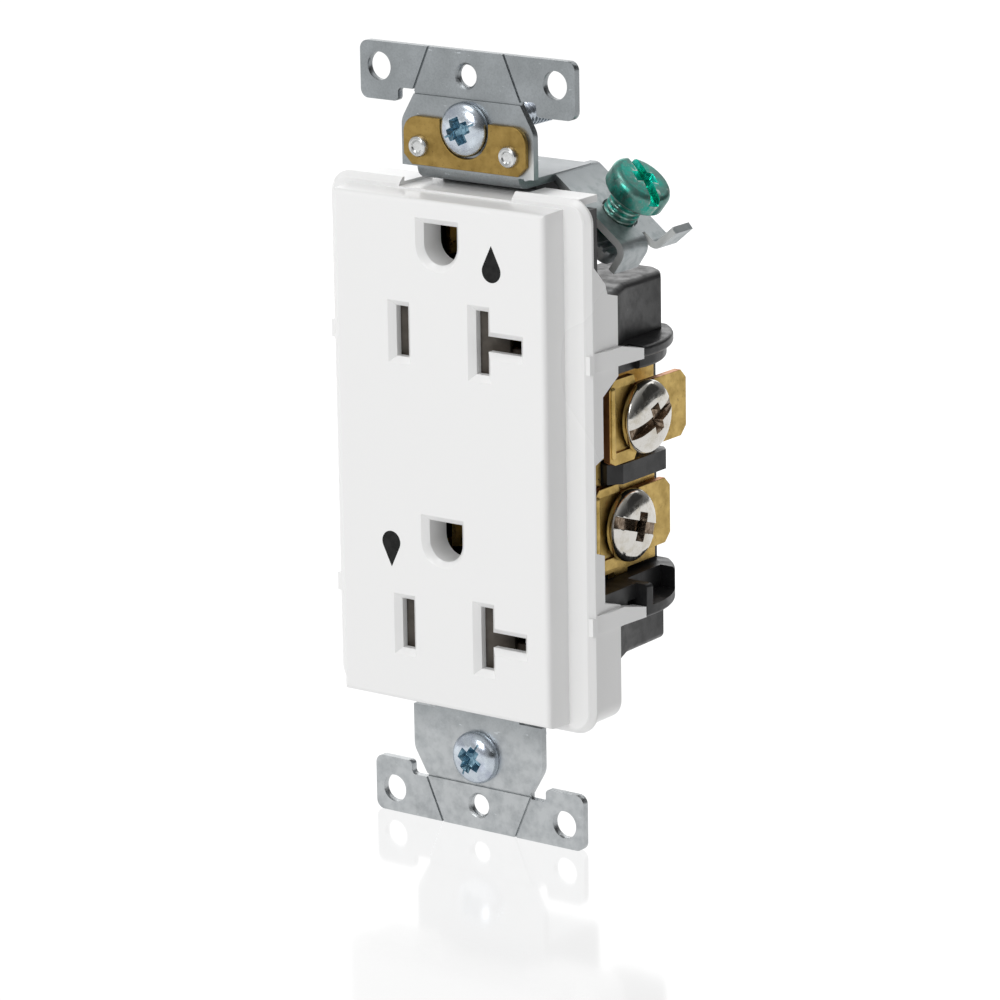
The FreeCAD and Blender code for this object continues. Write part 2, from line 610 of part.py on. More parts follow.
# ---------------------------------------------------------------------------
# Mounting strap
# ---------------------------------------------------------------------------
def ear_and_neck(level):
    """One ear with its neck, its holes and its score lines."""
    up = LEVELS[level]
    half_neck = d.neck_wide / 2
    half_waist = d.neck_waist / 2
    half_ear = d.ear_wide / 2
    right = [
        (half_neck, up * d.neck_foot),
        (half_neck, up * d.taper_low),
        (half_waist, up * d.taper_high),
        (half_waist, up * d.slit_top),
        (d.slit_out, up * d.slit_top),
        (d.slit_out, up * d.ear_foot),
        (half_ear, up * d.ear_foot),
        (half_ear, up * d.ear_tip),
    ]
    left = [(-across, height) for across, height in reversed(right)]
    plate = pad(f"{level}_ear_plate", "XZ", 0, d.strap_thick, right + left)

    def outer_corner(edge):
        return runs_along(edge, Vector(0, 1, 0)) and near(abs(middle(edge).x), half_ear)

    def shoulder(edge):
        return near(abs(middle(edge).x), half_neck) and near(abs(middle(edge).z), d.taper_low)

    def inner_corner(edge):
        spot = middle(edge)
        if not runs_along(edge, Vector(0, 1, 0)) or not near(abs(spot.x), d.slit_out):
            return False
        return near(abs(spot.z), d.slit_top) or near(abs(spot.z), d.ear_foot)

    rounded = soften(f"{level}_ear_rounded", plate, "Fillet", d.ear_round, outer_corner)
    shouldered = soften(f"{level}_neck_rounded", rounded, "Fillet", d.shoulder_round, shoulder)
    eased = soften(f"{level}_foot_rounded", shouldered, "Fillet", d.foot_round, inner_corner)
    tools = []
    for side in (-1, 1):
        tools.append(
            rod(
                f"{level}_ear_hole_{side + 1}", "-Y", d.ear_hole_bore, d.strap_thick + 2 * OVERCUT,
                side * d.ear_hole_across / 2, OVERCUT, up * d.ear_hole_up,
            )
        )
    tools.append(
        rod(
            f"{level}_plate_hole", "-Y", d.plate_hole_bore, d.strap_thick + 2 * OVERCUT,
            0, OVERCUT, up * d.plate_hole_up,
        )
    )
    sink = doc.addObject("Part::Cone", f"{level}_plate_sink")
    bind(sink, "Radius1", d.plate_hole_flare / 2)
    bind(sink, "Radius2", d.plate_hole_bore / 2)
    bind(sink, "Height", (d.plate_hole_flare - d.plate_hole_bore) / 2)
    sink.Placement = FreeCAD.Placement(Vector(), TURN_FROM_Z["+Y"])
    place(sink, 0, strap_front, up * d.plate_hole_up)
    tools.append(sink)
    tools.append(
        rod(
            f"{level}_box_hole", "-Y", d.box_hole_bore, d.strap_thick + 2 * OVERCUT,
            0, OVERCUT, up * d.box_hole_up,
        )
    )
    score_base = strap_front - OVERCUT
    score_floor = strap_front + d.score_deep
    tools.append(
        box(
            f"{level}_score", (-d.score_half, d.score_half), (score_base, score_floor),
            (up * d.score_up - d.score_wide / 2, up * d.score_up + d.score_wide / 2),
        )
    )
    for side in (-1, 1):
        ends = [
            (side * d.score_tip_half, up * (d.ear_tip + OVERCUT)),
            (side * (d.score_tip_half + d.score_wide), up * (d.ear_tip + OVERCUT)),
            (side * (d.score_half + d.score_wide), up * d.score_up),
            (side * d.score_half, up * d.score_up),
        ]
        tools.append(pad(f"{level}_slant_{side + 1}", "XZ", -score_floor, d.score_deep + OVERCUT, ends))
    return cut(f"{level}_ear", eased, *tools)


def wrap():
    """The strap's run from neck to neck: back over the rear body, down behind it and forward again."""
    inner = d.shelf_top - d.strap_thick
    back = d.shelf_end - d.strap_thick
    neck_end = d.neck_foot + d.strap_thick
    upper = [
        (strap_front, inner), (strap_front, neck_end), (0, neck_end), (0, d.shelf_top),
        (d.shelf_end, d.shelf_top),
    ]
    inside = [(back, -inner), (back, inner)]
    lower = [(deep, -height) for deep, height in reversed(upper)]
    loop = pad("strap_wrap", "YZ", -d.wrap_half, d.wrap_half * 2, upper + lower + inside)
    return bent("strap_wrap", loop)


def top_plate():
    """The wider part of the strap's top plate, up to where the strap turns down."""
    inner = d.shelf_top - d.strap_thick
    neck_end = d.neck_foot + d.strap_thick
    turn = d.shelf_end - d.strap_thick - d.bend_round
    profile = [
        (strap_front, neck_end), (0, neck_end), (0, d.shelf_top), (turn, d.shelf_top),
        (turn, inner), (strap_front, inner),
    ]
    plate = pad("top_plate", "YZ", -d.shelf_half, d.shelf_half * 2, profile)
    return bent("top_plate", plate)


def bent(name, sheet):
    """Rounds the bends of a folded sheet: small inside, larger outside."""
    corner = d.shelf_top - d.strap_thick
    back = d.shelf_end - d.strap_thick

    def at(edge, deep, height):
        spot = middle(edge)
        return runs_along(edge, Vector(1, 0, 0)) and near(spot.y, deep) and near(abs(spot.z), height)

    def inside(edge):
        return at(edge, 0, d.shelf_top) or at(edge, back, corner)

    def outside(edge):
        return at(edge, strap_front, corner) or at(edge, d.shelf_end, d.shelf_top)

    first = soften(f"{name}_inside", sheet, "Fillet", d.bend_round, inside)
    return soften(f"{name}_bent", first, "Fillet", d.bend_round + d.strap_thick, outside)


SLOPE = radians(float(d.slope))
DOWN_SLOPE = Vector(cos(SLOPE), 0, -sin(SLOPE))
OFF_SLOPE = Vector(sin(SLOPE), 0, cos(SLOPE))
SLOPE_START = Vector(float(d.shelf_half), 0, float(d.shelf_top))


def on_slope(run, deep, rise):
    """A point by its distance down the slope, its depth and its height off the terminal."""
    point = SLOPE_START + DOWN_SLOPE * float(run) + OFF_SLOPE * float(rise)
    point.y = float(deep)
    return point


def turned_in_xz(direction, degrees):
    """A direction in the XZ plane turned clockwise, seen from the front."""
    angle = radians(degrees)
    return Vector(
        direction.x * cos(angle) + direction.z * sin(angle), 0,
        direction.z * cos(angle) - direction.x * sin(angle),
    )


def ground_terminal():
    """The sloping terminal with its hole, its turned-under lip and its turned-out wire stop."""
    start = Vector(float(d.wrap_half), 0, SLOPE_START.z)
    corner = on_slope(d.slope_run, 0, 0)
    lip_end = corner + turned_in_xz(DOWN_SLOPE, float(d.lip_turn)) * float(d.lip_run)
    stop_end = corner + turned_in_xz(DOWN_SLOPE, -float(d.stop_turn)) * float(d.stop_run)
    shared = [(start.x, start.z), (SLOPE_START.x, SLOPE_START.z), (corner.x, corner.z)]
    lip = folded(
        shared + [(lip_end.x, lip_end.z)], d.strap_thick, d.bend_round * 1.5, d.slope_front, d.slope_split
    )
    stop = folded(
        shared + [(stop_end.x, stop_end.z)], d.strap_thick, d.bend_round, d.slope_split, d.shelf_end
    )
    relief = Part.makeBox(3 * OVERCUT, float(d.lip_relief), 8 * OVERCUT)
    relief.translate(Vector(-OVERCUT, -float(d.lip_relief) / 2, -4 * OVERCUT))
    relief.Placement = FreeCAD.Placement(
        on_slope(d.slope_run - d.strap_thick, d.slope_split, 0),
        FreeCAD.Rotation(Vector(0, 1, 0), float(d.slope)),
    ).multiply(relief.Placement)
    plate = lip.fuse(stop).removeSplitter().cut(relief)
    hole = Part.makeCylinder(
        float(d.ground_hole_bore) / 2, 4 * float(d.strap_thick),
        on_slope(d.ground_hole_run, d.ground_hole_deep, -2 * d.strap_thick), OFF_SLOPE,
    )
    return made("ground_ear", plate.cut(hole))


def mounting_strap():
    pieces = [
        ear_and_neck("upper"),
        ear_and_neck("lower"),
        wrap(),
        top_plate(),
        ground_terminal(),
    ]
    joined = fuse("strap_joined", *pieces)
    bores = [
        rod(
            f"{level}_strap_pin_hole", "+Y", d.pin_rivet_shank, d.strap_thick + 2 * OVERCUT,
            0, d.shelf_end - d.strap_thick - OVERCUT, pin_rivet_height(level),
        )
        for level in LEVELS
    ]
    bores += [
        rod(
            f"strap_clip_hole_{side + 1}", "-Y", d.rivet_shank, d.strap_thick + 2 * OVERCUT,
            side * d.clip_rivet_across, OVERCUT, d.clip_rivet_up,
        )
        for side in (-1, 1)
    ]
    return cut("mounting_strap", joined, *bores)


# ---------------------------------------------------------------------------
# Self-grounding clip and rivets
# ---------------------------------------------------------------------------
def grounding_clip():
    outline = [
        (-d.clip_half, d.clip_low + d.clip_bevel),
        (-d.clip_half + d.clip_bevel, d.clip_low),
        (d.clip_half - d.clip_bevel, d.clip_low),
        (d.clip_half, d.clip_low + d.clip_bevel),
        (d.clip_half, d.clip_high),
        (-d.clip_half, d.clip_high),
    ]
    plate = pad("clip_plate", "XZ", d.strap_thick, d.clip_thick, outline)

    def top_corner(edge):
        return runs_along(edge, Vector(0, 1, 0)) and near(middle(edge).z, d.clip_high)

    rounded = soften("clip_rounded", plate, "Fillet", d.clip_round, top_corner)
    fork_round = rod(
        "clip_fork_round", "-Y", 2 * d.clip_gap, 4 * d.strap_thick, 0, OVERCUT, d.box_hole_up
    )
    fork_open = box(
        "clip_fork_open", (-d.clip_gap, d.clip_gap), (-4 * d.strap_thick, OVERCUT),
        (d.box_hole_up, d.clip_high + OVERCUT),
    )
    holes = [
        rod(
            f"clip_hole_{side + 1}", "-Y", d.rivet_shank, 4 * d.strap_thick,
            side * d.clip_rivet_across, OVERCUT, d.clip_rivet_up,
        )
        for side in (-1, 1)
    ]
    return cut("grounding_clip", rounded, fork_round, fork_open, *holes)


def domed_head(name, diameter, rise):
    """A low dome on +Z: a cylinder trimmed by a sphere that leaves a short straight edge."""
    radius = float(diameter) / 2
    dome = float(rise) * float(d.dome_share)
    ball = (radius * radius + dome * dome) / (2 * dome)
    block = rod(f"{name}_block", "+Z", diameter, rise, 0, 0, 0)
    sphere = doc.addObject("Part::Sphere", f"{name}_ball")
    sphere.Radius = ball
    sphere.Placement.Base = Vector(0, 0, float(rise) - ball)
    return overlap(name, block, sphere)


def rivet(name, head, rise, shank, grip, direction, x, y, z):
    """A rivet whose head rests at a point and looks in a direction, with a flat tail."""
    item = fuse(
        name,
        domed_head(f"{name}_head", head, rise),
        rod(f"{name}_shank", "-Z", shank, grip, 0, 0, 0),
        rod(f"{name}_tail", "-Z", head, rise / 2, 0, 0, -size(grip)),
    )
    item.Placement = FreeCAD.Placement(Vector(float(x), float(y), float(z)), TURN_FROM_Z[direction])
    return item


def clip_rivets():
    group = doc.addObject("Part::Compound", "clip_rivets")
    group.Links = [
        rivet(
            f"clip_rivet_{side + 1}", d.rivet_head, d.rivet_rise, d.rivet_shank,
            d.strap_thick + d.clip_thick, "-Y",
            side * d.clip_rivet_across, strap_front - d.clip_thick, d.clip_rivet_up,
        )
        for side in (-1, 1)
    ]
    return group


# ---------------------------------------------------------------------------
# Screws: made along +Z with the head's bearing face at the origin, then turned
# ---------------------------------------------------------------------------
def screw(name, head, rise, shank, length, slot, slot_deep, placement):
    """A pan-head screw with a slot crossed by a shorter slot."""
    dome = domed_head(f"{name}_head", head, rise)
    reach = size(head) / 2 + OVERCUT
    slots = [
        box(f"{name}_slot", (-reach, reach), (-slot / 2, slot / 2), (rise - slot_deep, rise + OVERCUT)),
        box(
            f"{name}_cross", (-slot / 2, slot / 2), (-head * d.cross_share, head * d.cross_share),
            (rise - slot_deep * d.cross_deepen, rise + OVERCUT),
        ),
    ]
    cut_head = cut(f"{name}_cut_head", dome, *slots)
    stem = rod(f"{name}_stem", "-Z", shank, length - shank / 4, 0, 0, 0)
    point = doc.addObject("Part::Cone", f"{name}_point")
    bind(point, "Radius1", size(shank) / 2)
    bind(point, "Radius2", size(shank) / 4)
    bind(point, "Height", size(shank) / 4)
    point.Placement = FreeCAD.Placement(Vector(), TURN_FROM_Z["-Z"])
    place(point, 0, 0, -(length - shank / 4))
    item = fuse(name, cut_head, stem, point)
    item.Placement = placement
    return item


def mounting_screw(level):
    spot = Vector(0, float(strap_front - d.head_gap), LEVELS[level] * float(d.box_hole_up))
    turned = TURN_FROM_Z["-Y"].multiply(FreeCAD.Rotation(Vector(0, 0, 1), 65))
    length = d.box_length if level == "upper" else d.box_length_low
    return screw(
        f"{level}_mounting_screw", d.box_head, d.box_head_rise, d.box_shank, length,
        d.box_slot, d.box_slot_deep, FreeCAD.Placement(spot, turned),
    )


def screw_retainer(level):
    height = LEVELS[level] * d.box_hole_up
    ring = rod(f"{level}_keeper_disc", "+Y", d.keeper_out, d.keeper_thick, 0, d.keeper_gap, height)
    bore = rod(
        f"{level}_keeper_bore", "+Y", d.keeper_in, d.keeper_thick + 2 * OVERCUT,
        0, d.keeper_gap - OVERCUT, height,
    )
    return cut(f"{level}_screw_retainer", ring, bore)


def terminal_screw(side, level):
    stand = clamp_face(level) + d.clamp_thick + d.head_gap
    direction = {"neutral": "+X", "hot": "-X"}[side]
    spot = Vector(
        SIDES[side] * float(stand), float(d.screw_deep), float(terminal_height(level))
    )
    slot_turn = {"upper": 55, "lower": 8}[level]
    turned = TURN_FROM_Z[direction].multiply(FreeCAD.Rotation(Vector(0, 0, 1), 90 - slot_turn))
    return screw(
        f"{side}_{level}_screw", d.term_head, d.term_head_rise, d.term_shank, d.term_length,
        d.term_slot, d.term_slot_deep, FreeCAD.Placement(spot, turned),
    )


def ground_screw():
    spot = on_slope(d.ground_hole_run, d.ground_hole_deep, d.ground_stand)
    turned = FreeCAD.Rotation(Vector(0, 1, 0), float(d.slope)).multiply(
        FreeCAD.Rotation(Vector(0, 0, 1), -25)
    )
    return screw(
        "ground_screw", d.ground_head, d.ground_head_rise, d.term_shank, d.ground_length,
        d.term_slot, d.term_slot_deep, FreeCAD.Placement(spot, turned),
    )


def ground_clamp_plate():
    """A pressed plate under the ground terminal, with teeth across its upper face."""
    half_run = d.ground_plate_run / 2
    half_wide = d.ground_plate_wide / 2
    block = box(
        "ground_clamp_block", (-half_run, half_run), (-half_wide, half_wide), (-d.ground_plate_thick, 0)
    )

    def upright(edge):
        return runs_along(edge, Vector(0, 0, 1))

    rounded = soften("ground_clamp_rounded", block, "Fillet", d.ear_round, upright)
    bore = rod(
        "ground_clamp_bore", "-Z", d.term_bore, d.ground_plate_thick + 2 * OVERCUT, 0, 0, OVERCUT
    )
    teeth = []
    for index in (-3, -2, 2, 3):
        groove = box(
            f"ground_clamp_groove_{index + 3}",
            (d.tooth_pitch * index - d.tooth_half, d.tooth_pitch * index + d.tooth_half),
            (-half_wide - OVERCUT, half_wide + OVERCUT), (-d.tooth_deep, OVERCUT),
        )
        teeth.append(groove)
    plate = cut("ground_clamp_plate", rounded, bore, *teeth)
    below = -(d.strap_thick + d.ground_plate_gap)
    plate.Placement = FreeCAD.Placement(
        on_slope(d.ground_hole_run, d.ground_hole_deep, below),
        FreeCAD.Rotation(Vector(0, 1, 0), float(d.slope)),
    )
    return plate


# ---------------------------------------------------------------------------
# Face cover
# ---------------------------------------------------------------------------
def tee_outline(ease, shift_by=0.0, arm_reach=None):
    """The T-shaped neutral slot: an upright with one level arm."""
    reach = d.tee_reach if arm_reach is None else arm_reach
    half = d.slot_wide / 2 + ease
    up = d.neutral_slot_tall / 2 + ease
    arm = d.tee_tall / 2 + ease
    left = d.blade_across - half + shift_by
    right = d.blade_across + half + shift_by
    tip = d.blade_across + reach + ease + shift_by
    return [(left, -up), (right, -up), (right, -arm), (tip, -arm), (tip, arm), (right, arm),
            (right, up), (left, up)]


def hot_outline(ease):
    half = d.slot_wide / 2 + ease
    up = d.hot_slot_tall / 2 + ease
    return [(-d.blade_across - half, -up), (-d.blade_across + half, -up),
            (-d.blade_across + half, up), (-d.blade_across - half, up)]


def slot_cutters(level):
    """Straight cutters for an outlet's three openings, each with a flaring mouth."""
    middle_up = OUTLETS[level]
    mouth = d.face_front - d.slot_bevel
    cutters = []
    shapes = [
        ("hot", polygon, hot_outline(0), middle_up),
        ("neutral", polygon, tee_outline(0), middle_up),
        ("pin", arch, None, middle_up + d.pin_up),
    ]
    for label, draw, outline, height in shapes:
        drawn = (d.pin_half, d.pin_half) if draw is arch else outline
        back = d.sleeve_back - OVERCUT if draw is arch else mouth - d.slot_through
        through = pad(f"{level}_{label}_through", "XZ", back, mouth - back + OVERCUT, drawn, draw)
        cutters.append(shift(through, 0, 0, height))
        if draw is polygon:
            flare = pad(f"{level}_{label}_flare", "XZ", mouth, d.slot_bevel + d.fit_gap, drawn, taper=45.0)
            cutters.append(shift(flare, 0, 0, height))
    cutters.append(pin_flare(level))
    return cutters


def pin_sleeve(level):
    """The sleeve behind a ground hole."""
    half = d.pin_half + d.sleeve_wall
    length = d.face_front - d.face_wall / 2 - d.sleeve_back
    sleeve = pad(f"{level}_pin_sleeve", "XZ", d.sleeve_back, length, (half, half), arch)
    return shift(sleeve, 0, 0, OUTLETS[level] + d.pin_up)


def pin_flare(level):
    """The flaring mouth of the ground hole."""
    wires = []
    for out in (0, float(d.slot_bevel + d.fit_gap)):
        half = float(d.pin_half) + out
        deep = float(d.slot_bevel) - float(d.face_front) - out
        height = float(OUTLETS[level] + d.pin_up)
        corners = [
            Vector(half, deep, height), Vector(half, deep, height + half),
            Vector(-half, deep, height + half), Vector(-half, deep, height),
        ]
        edges = [Part.LineSegment(a, b).toShape() for a, b in zip(corners, corners[1:])]
        lowest = Vector(0, deep, height - half)
        edges.append(Part.Arc(corners[3], lowest, corners[0]).toShape())
        wires.append(Part.Wire(edges))
    return made(f"{level}_pin_flare", Part.makeLoft(wires, True, True))


def latch_arm(side, level):
    """A tapering arm that reaches back from the skirt, with an inward hook at its tip."""
    height = d.body_middle + LEVELS[level] * d.arm_up
    name = f"{side}_{level}_arm"
    outer = d.flange_half
    low = d.arm_in if SIDES[side] > 0 else -outer
    root = -d.flange_rear - OVERCUT
    tip_low = height - d.arm_drop - d.arm_tip_half
    tip_high = height - d.arm_drop + d.arm_tip_half
    outline = [
        (root, height - d.arm_half_tall), (d.skirt_end, height - d.arm_half_tall),
        (d.arm_end, tip_low), (d.arm_end, tip_high),
        (d.skirt_end, height + d.arm_half_tall), (root, height + d.arm_half_tall),
    ]
    whole = pad(name, "YZ", low, outer - d.arm_in, outline)
    ramp_outline = [
        (outer - d.skirt_set, -d.flange_rear), (outer + OVERCUT, -d.flange_rear),
        (outer + OVERCUT, d.arm_ramp - d.flange_rear), (outer, d.arm_ramp - d.flange_rear),
    ]
    if SIDES[side] < 0:
        ramp_outline = [(-across, deep) for across, deep in ramp_outline]
    ramp = pad(
        f"{name}_ramp", "XY", height - d.arm_half_tall - OVERCUT, 2 * (d.arm_half_tall + OVERCUT),
        ramp_outline,
    )
    arm = cut(f"{name}_ramped", whole, ramp)
    hook_low = d.hook_in if SIDES[side] > 0 else -d.arm_in - d.hook_join
    hook_outline = [
        (d.hook_start, tip_low), (d.arm_end, tip_low), (d.arm_end, tip_high), (d.hook_start, tip_high),
    ]
    hook = pad(f"{name}_hook", "YZ", hook_low, d.arm_in - d.hook_in + d.hook_join, hook_outline)
    return fuse(f"{name}_latch", arm, hook)


def skirt_openings(side):
    """What the skirt leaves open on one side: the terminals and the ground corner."""
    low = d.skirt_in - 2 * OVERCUT if SIDES[side] > 0 else -d.flange_half - OVERCUT
    width = d.flange_half + OVERCUT - d.skirt_in + 2 * OVERCUT
    far = d.skirt_end + 2 * OVERCUT
    middle_up = d.body_middle
    top = middle_up + d.gap_top
    bottom = middle_up - d.gap_bottom
    notch_top = middle_up + d.notch_top
    notch_bottom = middle_up - d.notch_bottom
    terminals = [
        (far, top + d.gap_top_lean), (d.skirt_end, top), (0, top - d.gap_top_lean), (0, notch_top),
        (-d.flange_inside, notch_top - d.notch_lean), (-d.flange_inside, notch_bottom + d.notch_lean),
        (0, notch_bottom), (0, bottom + d.gap_bottom_lean), (d.skirt_end, bottom), (far, bottom),
    ]
    corner = [
        (far, d.corner_start - d.corner_lean), (d.skirt_end, d.corner_start),
        (d.corner_knee_deep + d.mould_join, d.corner_start + d.corner_lean),
        (d.corner_knee_deep, d.corner_knee), (-d.corner_deep, d.corner_high),
        (-d.corner_deep, d.flange_up + OVERCUT), (far, d.flange_up + OVERCUT),
    ]
    return [
        pad(f"{side}_skirt_terminals", "YZ", low, width, terminals),
        pad(f"{side}_skirt_corner", "YZ", low, width, corner),
    ]


def face_cover():
    raised = pad(
        "face_raised", "XZ", d.flange_front - 1, d.face_front - d.flange_front + 1,
        rectangle(d.face_half + d.draft_spread, d.face_up + d.draft_spread), taper=-float(d.face_draft),
    )
    flange = pad(
        "face_flange", "XZ", d.flange_rear, d.flange_front - d.flange_rear,
        rectangle(d.flange_half, d.flange_up),
    )
    skirt = pad(
        "face_skirt", "XZ", -d.skirt_end, d.skirt_end + d.flange_rear + OVERCUT,
        rectangle(d.flange_half - d.skirt_set, d.flange_up - d.skirt_set),
    )

    def flange_corner(edge):
        return runs_along(edge, Vector(0, 1, 0))

    rounded = soften("face_flange_rounded", flange, "Fillet", d.flange_round, flange_corner)
    skirt_round = d.flange_round - d.skirt_set
    skirt_rounded = soften("face_skirt_rounded", skirt, "Fillet", skirt_round, flange_corner)

    def flange_edge(edge):
        return near(edge.BoundBox.YMin, -d.flange_front) and near(edge.BoundBox.YMax, -d.flange_front)

    bevelled = soften("face_flange_bevelled", rounded, "Chamfer", d.flange_bevel, flange_edge)

    def face_edge(edge):
        return near(edge.BoundBox.YMin, -d.face_front) and near(edge.BoundBox.YMax, -d.face_front)

    softened = soften("face_softened", raised, "Fillet", d.face_soft, face_edge)
    shell = fuse("face_shell", bevelled, skirt_rounded, softened)
    room = box(
        "face_room", (-d.room_half, d.room_half), (d.face_wall - d.face_front, d.skirt_end + OVERCUT),
        (-d.room_up, d.room_up),
    )
    inside = box(
        "face_inside", (-d.skirt_in, d.skirt_in), (-d.flange_inside, d.skirt_end + OVERCUT),
        (-d.skirt_up, d.skirt_up),
    )
    notches = [
        box(
            f"face_notch_{level}", (-d.notch_half, d.notch_half),
            (-d.flange_front - OVERCUT, d.skirt_end + OVERCUT), span,
        )
        for level, span in (
            ("upper", (d.notch_up, d.flange_up + OVERCUT)),
            ("lower", (-d.flange_up - OVERCUT, -d.notch_up)),
        )
    ]
    openings = skirt_openings("neutral") + skirt_openings("hot")
    hollow = cut("face_hollow", shell, room, inside, *notches, *openings)
    arms = [latch_arm(side, level) for side in SIDES for level in LEVELS]
    armed = fuse("face_armed", hollow, *arms, pin_sleeve("upper"), pin_sleeve("lower"))
    return cut("face_cover", armed, *slot_cutters("upper"), *slot_cutters("lower"))


def rectangle(half_wide, half_tall):
    return [(-half_wide, -half_tall), (half_wide, -half_tall), (half_wide, half_tall),
            (-half_wide, half_tall)]


# ---------------------------------------------------------------------------
# Shutters
# ---------------------------------------------------------------------------
def shutter_tray(level):
    """A floor with the outlet's windows, two rails and the wall that the spring bears on."""
    floor = box(
        f"{level}_tray_floor", (-d.tray_half, d.tray_half), (-d.tray_front, -d.tray_back),
        (-d.tray_up, d.tray_up),
    )
    rails = [
        box(
            f"{level}_tray_rail_{index}", (-d.tray_half, d.tray_half), (-d.rail_front, -d.tray_front),
            span,
        )
        for index, span in enumerate(
            ((d.tray_up - d.rail_thick, d.tray_up), (-d.tray_up, d.rail_thick - d.tray_up))
        )
    ]
    wall = box(
        f"{level}_tray_wall", (-d.tray_half, -d.stop_wall), (-d.rail_front, -d.tray_front),
        (-d.tray_up, d.tray_up),
    )
    windows = [
        pad(f"{level}_tray_hot", "XZ", d.tray_back - OVERCUT, 3 * OVERCUT, hot_outline(d.window_ease)),
        pad(f"{level}_tray_tee", "XZ", d.tray_back - OVERCUT, 3 * OVERCUT, tee_outline(d.window_ease)),
    ]
    joined = fuse(f"{level}_tray_joined", floor, *rails, wall)
    tray = cut(f"{level}_shutter_tray", joined, *windows)
    return shift(tray, 0, 0, OUTLETS[level])


def shutter(level):
    """A slider whose windows stand beside the slots until two blades push it along its ramps."""
    block = box(
        f"{level}_slider_block", (-d.slider_left, d.slider_right), (-d.slider_front, -d.slider_back),
        (-d.slider_up, d.slider_up),
    )
    half = d.slider_window / 2
    hot_middle = d.slider_travel - d.blade_across
    tee_middle = d.slider_travel + d.blade_across
    hot_up = d.hot_slot_tall / 2 + d.window_ease
    tee_up = d.neutral_slot_tall / 2 + d.window_ease
    arm_up = d.tee_tall / 2 + d.window_ease
    deep = (-d.slider_front - OVERCUT, OVERCUT - d.slider_back)
    tools = [
        box(f"{level}_slider_hot", (hot_middle - half, hot_middle + half), deep, (-hot_up, hot_up)),
        box(f"{level}_slider_tee", (tee_middle - half, tee_middle + half), deep, (-tee_up, tee_up)),
        box(
            f"{level}_slider_arm", (tee_middle, d.slider_right + OVERCUT), deep, (-arm_up, arm_up)
        ),
        rod(
            f"{level}_slider_pocket", "+X", d.spring_bore, d.spring_deep + OVERCUT,
            -d.slider_left - OVERCUT, -(d.slider_front + d.slider_back) / 2, 0,
        ),
    ]
    for label, window, up in (("hot", hot_middle, hot_up), ("tee", tee_middle, tee_up)):
        ramp = [
            (window - half - d.slider_travel, -d.slider_front - OVERCUT),
            (window - half + d.ramp_lap, -d.slider_front - OVERCUT),
            (window - half + d.ramp_lap, -d.ramp_floor),
            (window - half - d.slider_travel, -d.slider_front),
        ]
        tools.append(pad(f"{level}_slider_ramp_{label}", "XY", -up, up * 2, ramp))
    slider = cut(f"{level}_shutter", block, *tools)
    return shift(slider, 0, 0, OUTLETS[level])


def shutter_spring(level):
    """A compression spring between the tray's wall and the shutter's pocket."""
    length = float(d.stop_wall - d.slider_left + d.spring_deep - d.spring_gap * 2)
    wire = float(d.spring_wire)
    radius = (float(d.spring_out) - wire) / 2
    rise = length - wire
    helix = Part.makeHelix(rise / float(d.spring_turns), rise, radius)
    ring = Part.Wire(Part.Circle(Vector(radius, 0, 0), Vector(0, 1, 0), wire / 2).toShape())
    coil = Part.Wire(helix.Edges).makePipeShell([ring], True, True)
    item = made(f"{level}_shutter_spring", coil)
    axis_deep = -float(d.slider_front + d.slider_back) / 2
    spot = Vector(-float(d.stop_wall - d.spring_gap) + wire / 2, axis_deep, float(OUTLETS[level]))
    item.Placement = FreeCAD.Placement(spot, TURN_FROM_Z["+X"])
    return item


# ---------------------------------------------------------------------------
# Rear body
# ---------------------------------------------------------------------------
def barrier_outline(inset):
    """The plan of a barrier: straight behind the skirt, then bulging and rounded to the back."""
    half = float(d.barrier_half - inset)
    behind_arm = float(d.arm_end + d.hook_room)
    side = Vector(half, behind_arm, 0)
    bulge = Vector(half - float(d.bulge_in), behind_arm + float(d.bulge_deep), 0)
    back = Vector(half - float(d.barrier_tail_in), float(d.block_back - inset), 0)
    mirror_of = [Vector(-point.x, point.y, 0) for point in (back, bulge, side)]
    neck = float(d.body_half)
    edges = [
        Part.LineSegment(Vector(-neck, behind_arm, 0), Vector(-neck, 0, 0)).toShape(),
        Part.LineSegment(Vector(-neck, 0, 0), Vector(neck, 0, 0)).toShape(),
        Part.LineSegment(Vector(neck, 0, 0), Vector(neck, behind_arm, 0)).toShape(),
        Part.LineSegment(Vector(neck, behind_arm, 0), side).toShape(),
        Part.Arc(side, bulge, back).toShape(),
        Part.LineSegment(back, mirror_of[0]).toShape(),
        Part.Arc(*mirror_of).toShape(),
        Part.LineSegment(mirror_of[2], Vector(-neck, behind_arm, 0)).toShape(),
    ]
    return Part.Face(Part.Wire(edges))


def barrier_slab(name, inset, low, high):
    """A slab with a barrier's plan, rounded along its curved rim."""
    solid = barrier_outline(inset).extrude(Vector(0, 0, float(high - low)))
    solid.translate(Vector(0, 0, float(low)))
    rim = [
        edge for edge in solid.Edges
        if edge.Curve.TypeId == "Part::GeomCircle" and edge.BoundBox.ZLength < TOLERANCE
    ]
    return made(name, solid.makeFillet(float(d.barrier_round), rim))


def upper_barrier():
    """The ledge above the terminals: a plate that overhangs a narrower foot."""
    top = d.body_middle + d.barrier_high
    under = top - d.ledge_thick
    plate = barrier_slab("upper_barrier_plate", 0, under, top)
    foot = barrier_slab(
        "upper_barrier_foot", d.ledge_lip, d.body_middle + d.barrier_low, under + d.ledge_thick / 2
    )
    return fuse("upper_barrier", plate, foot)


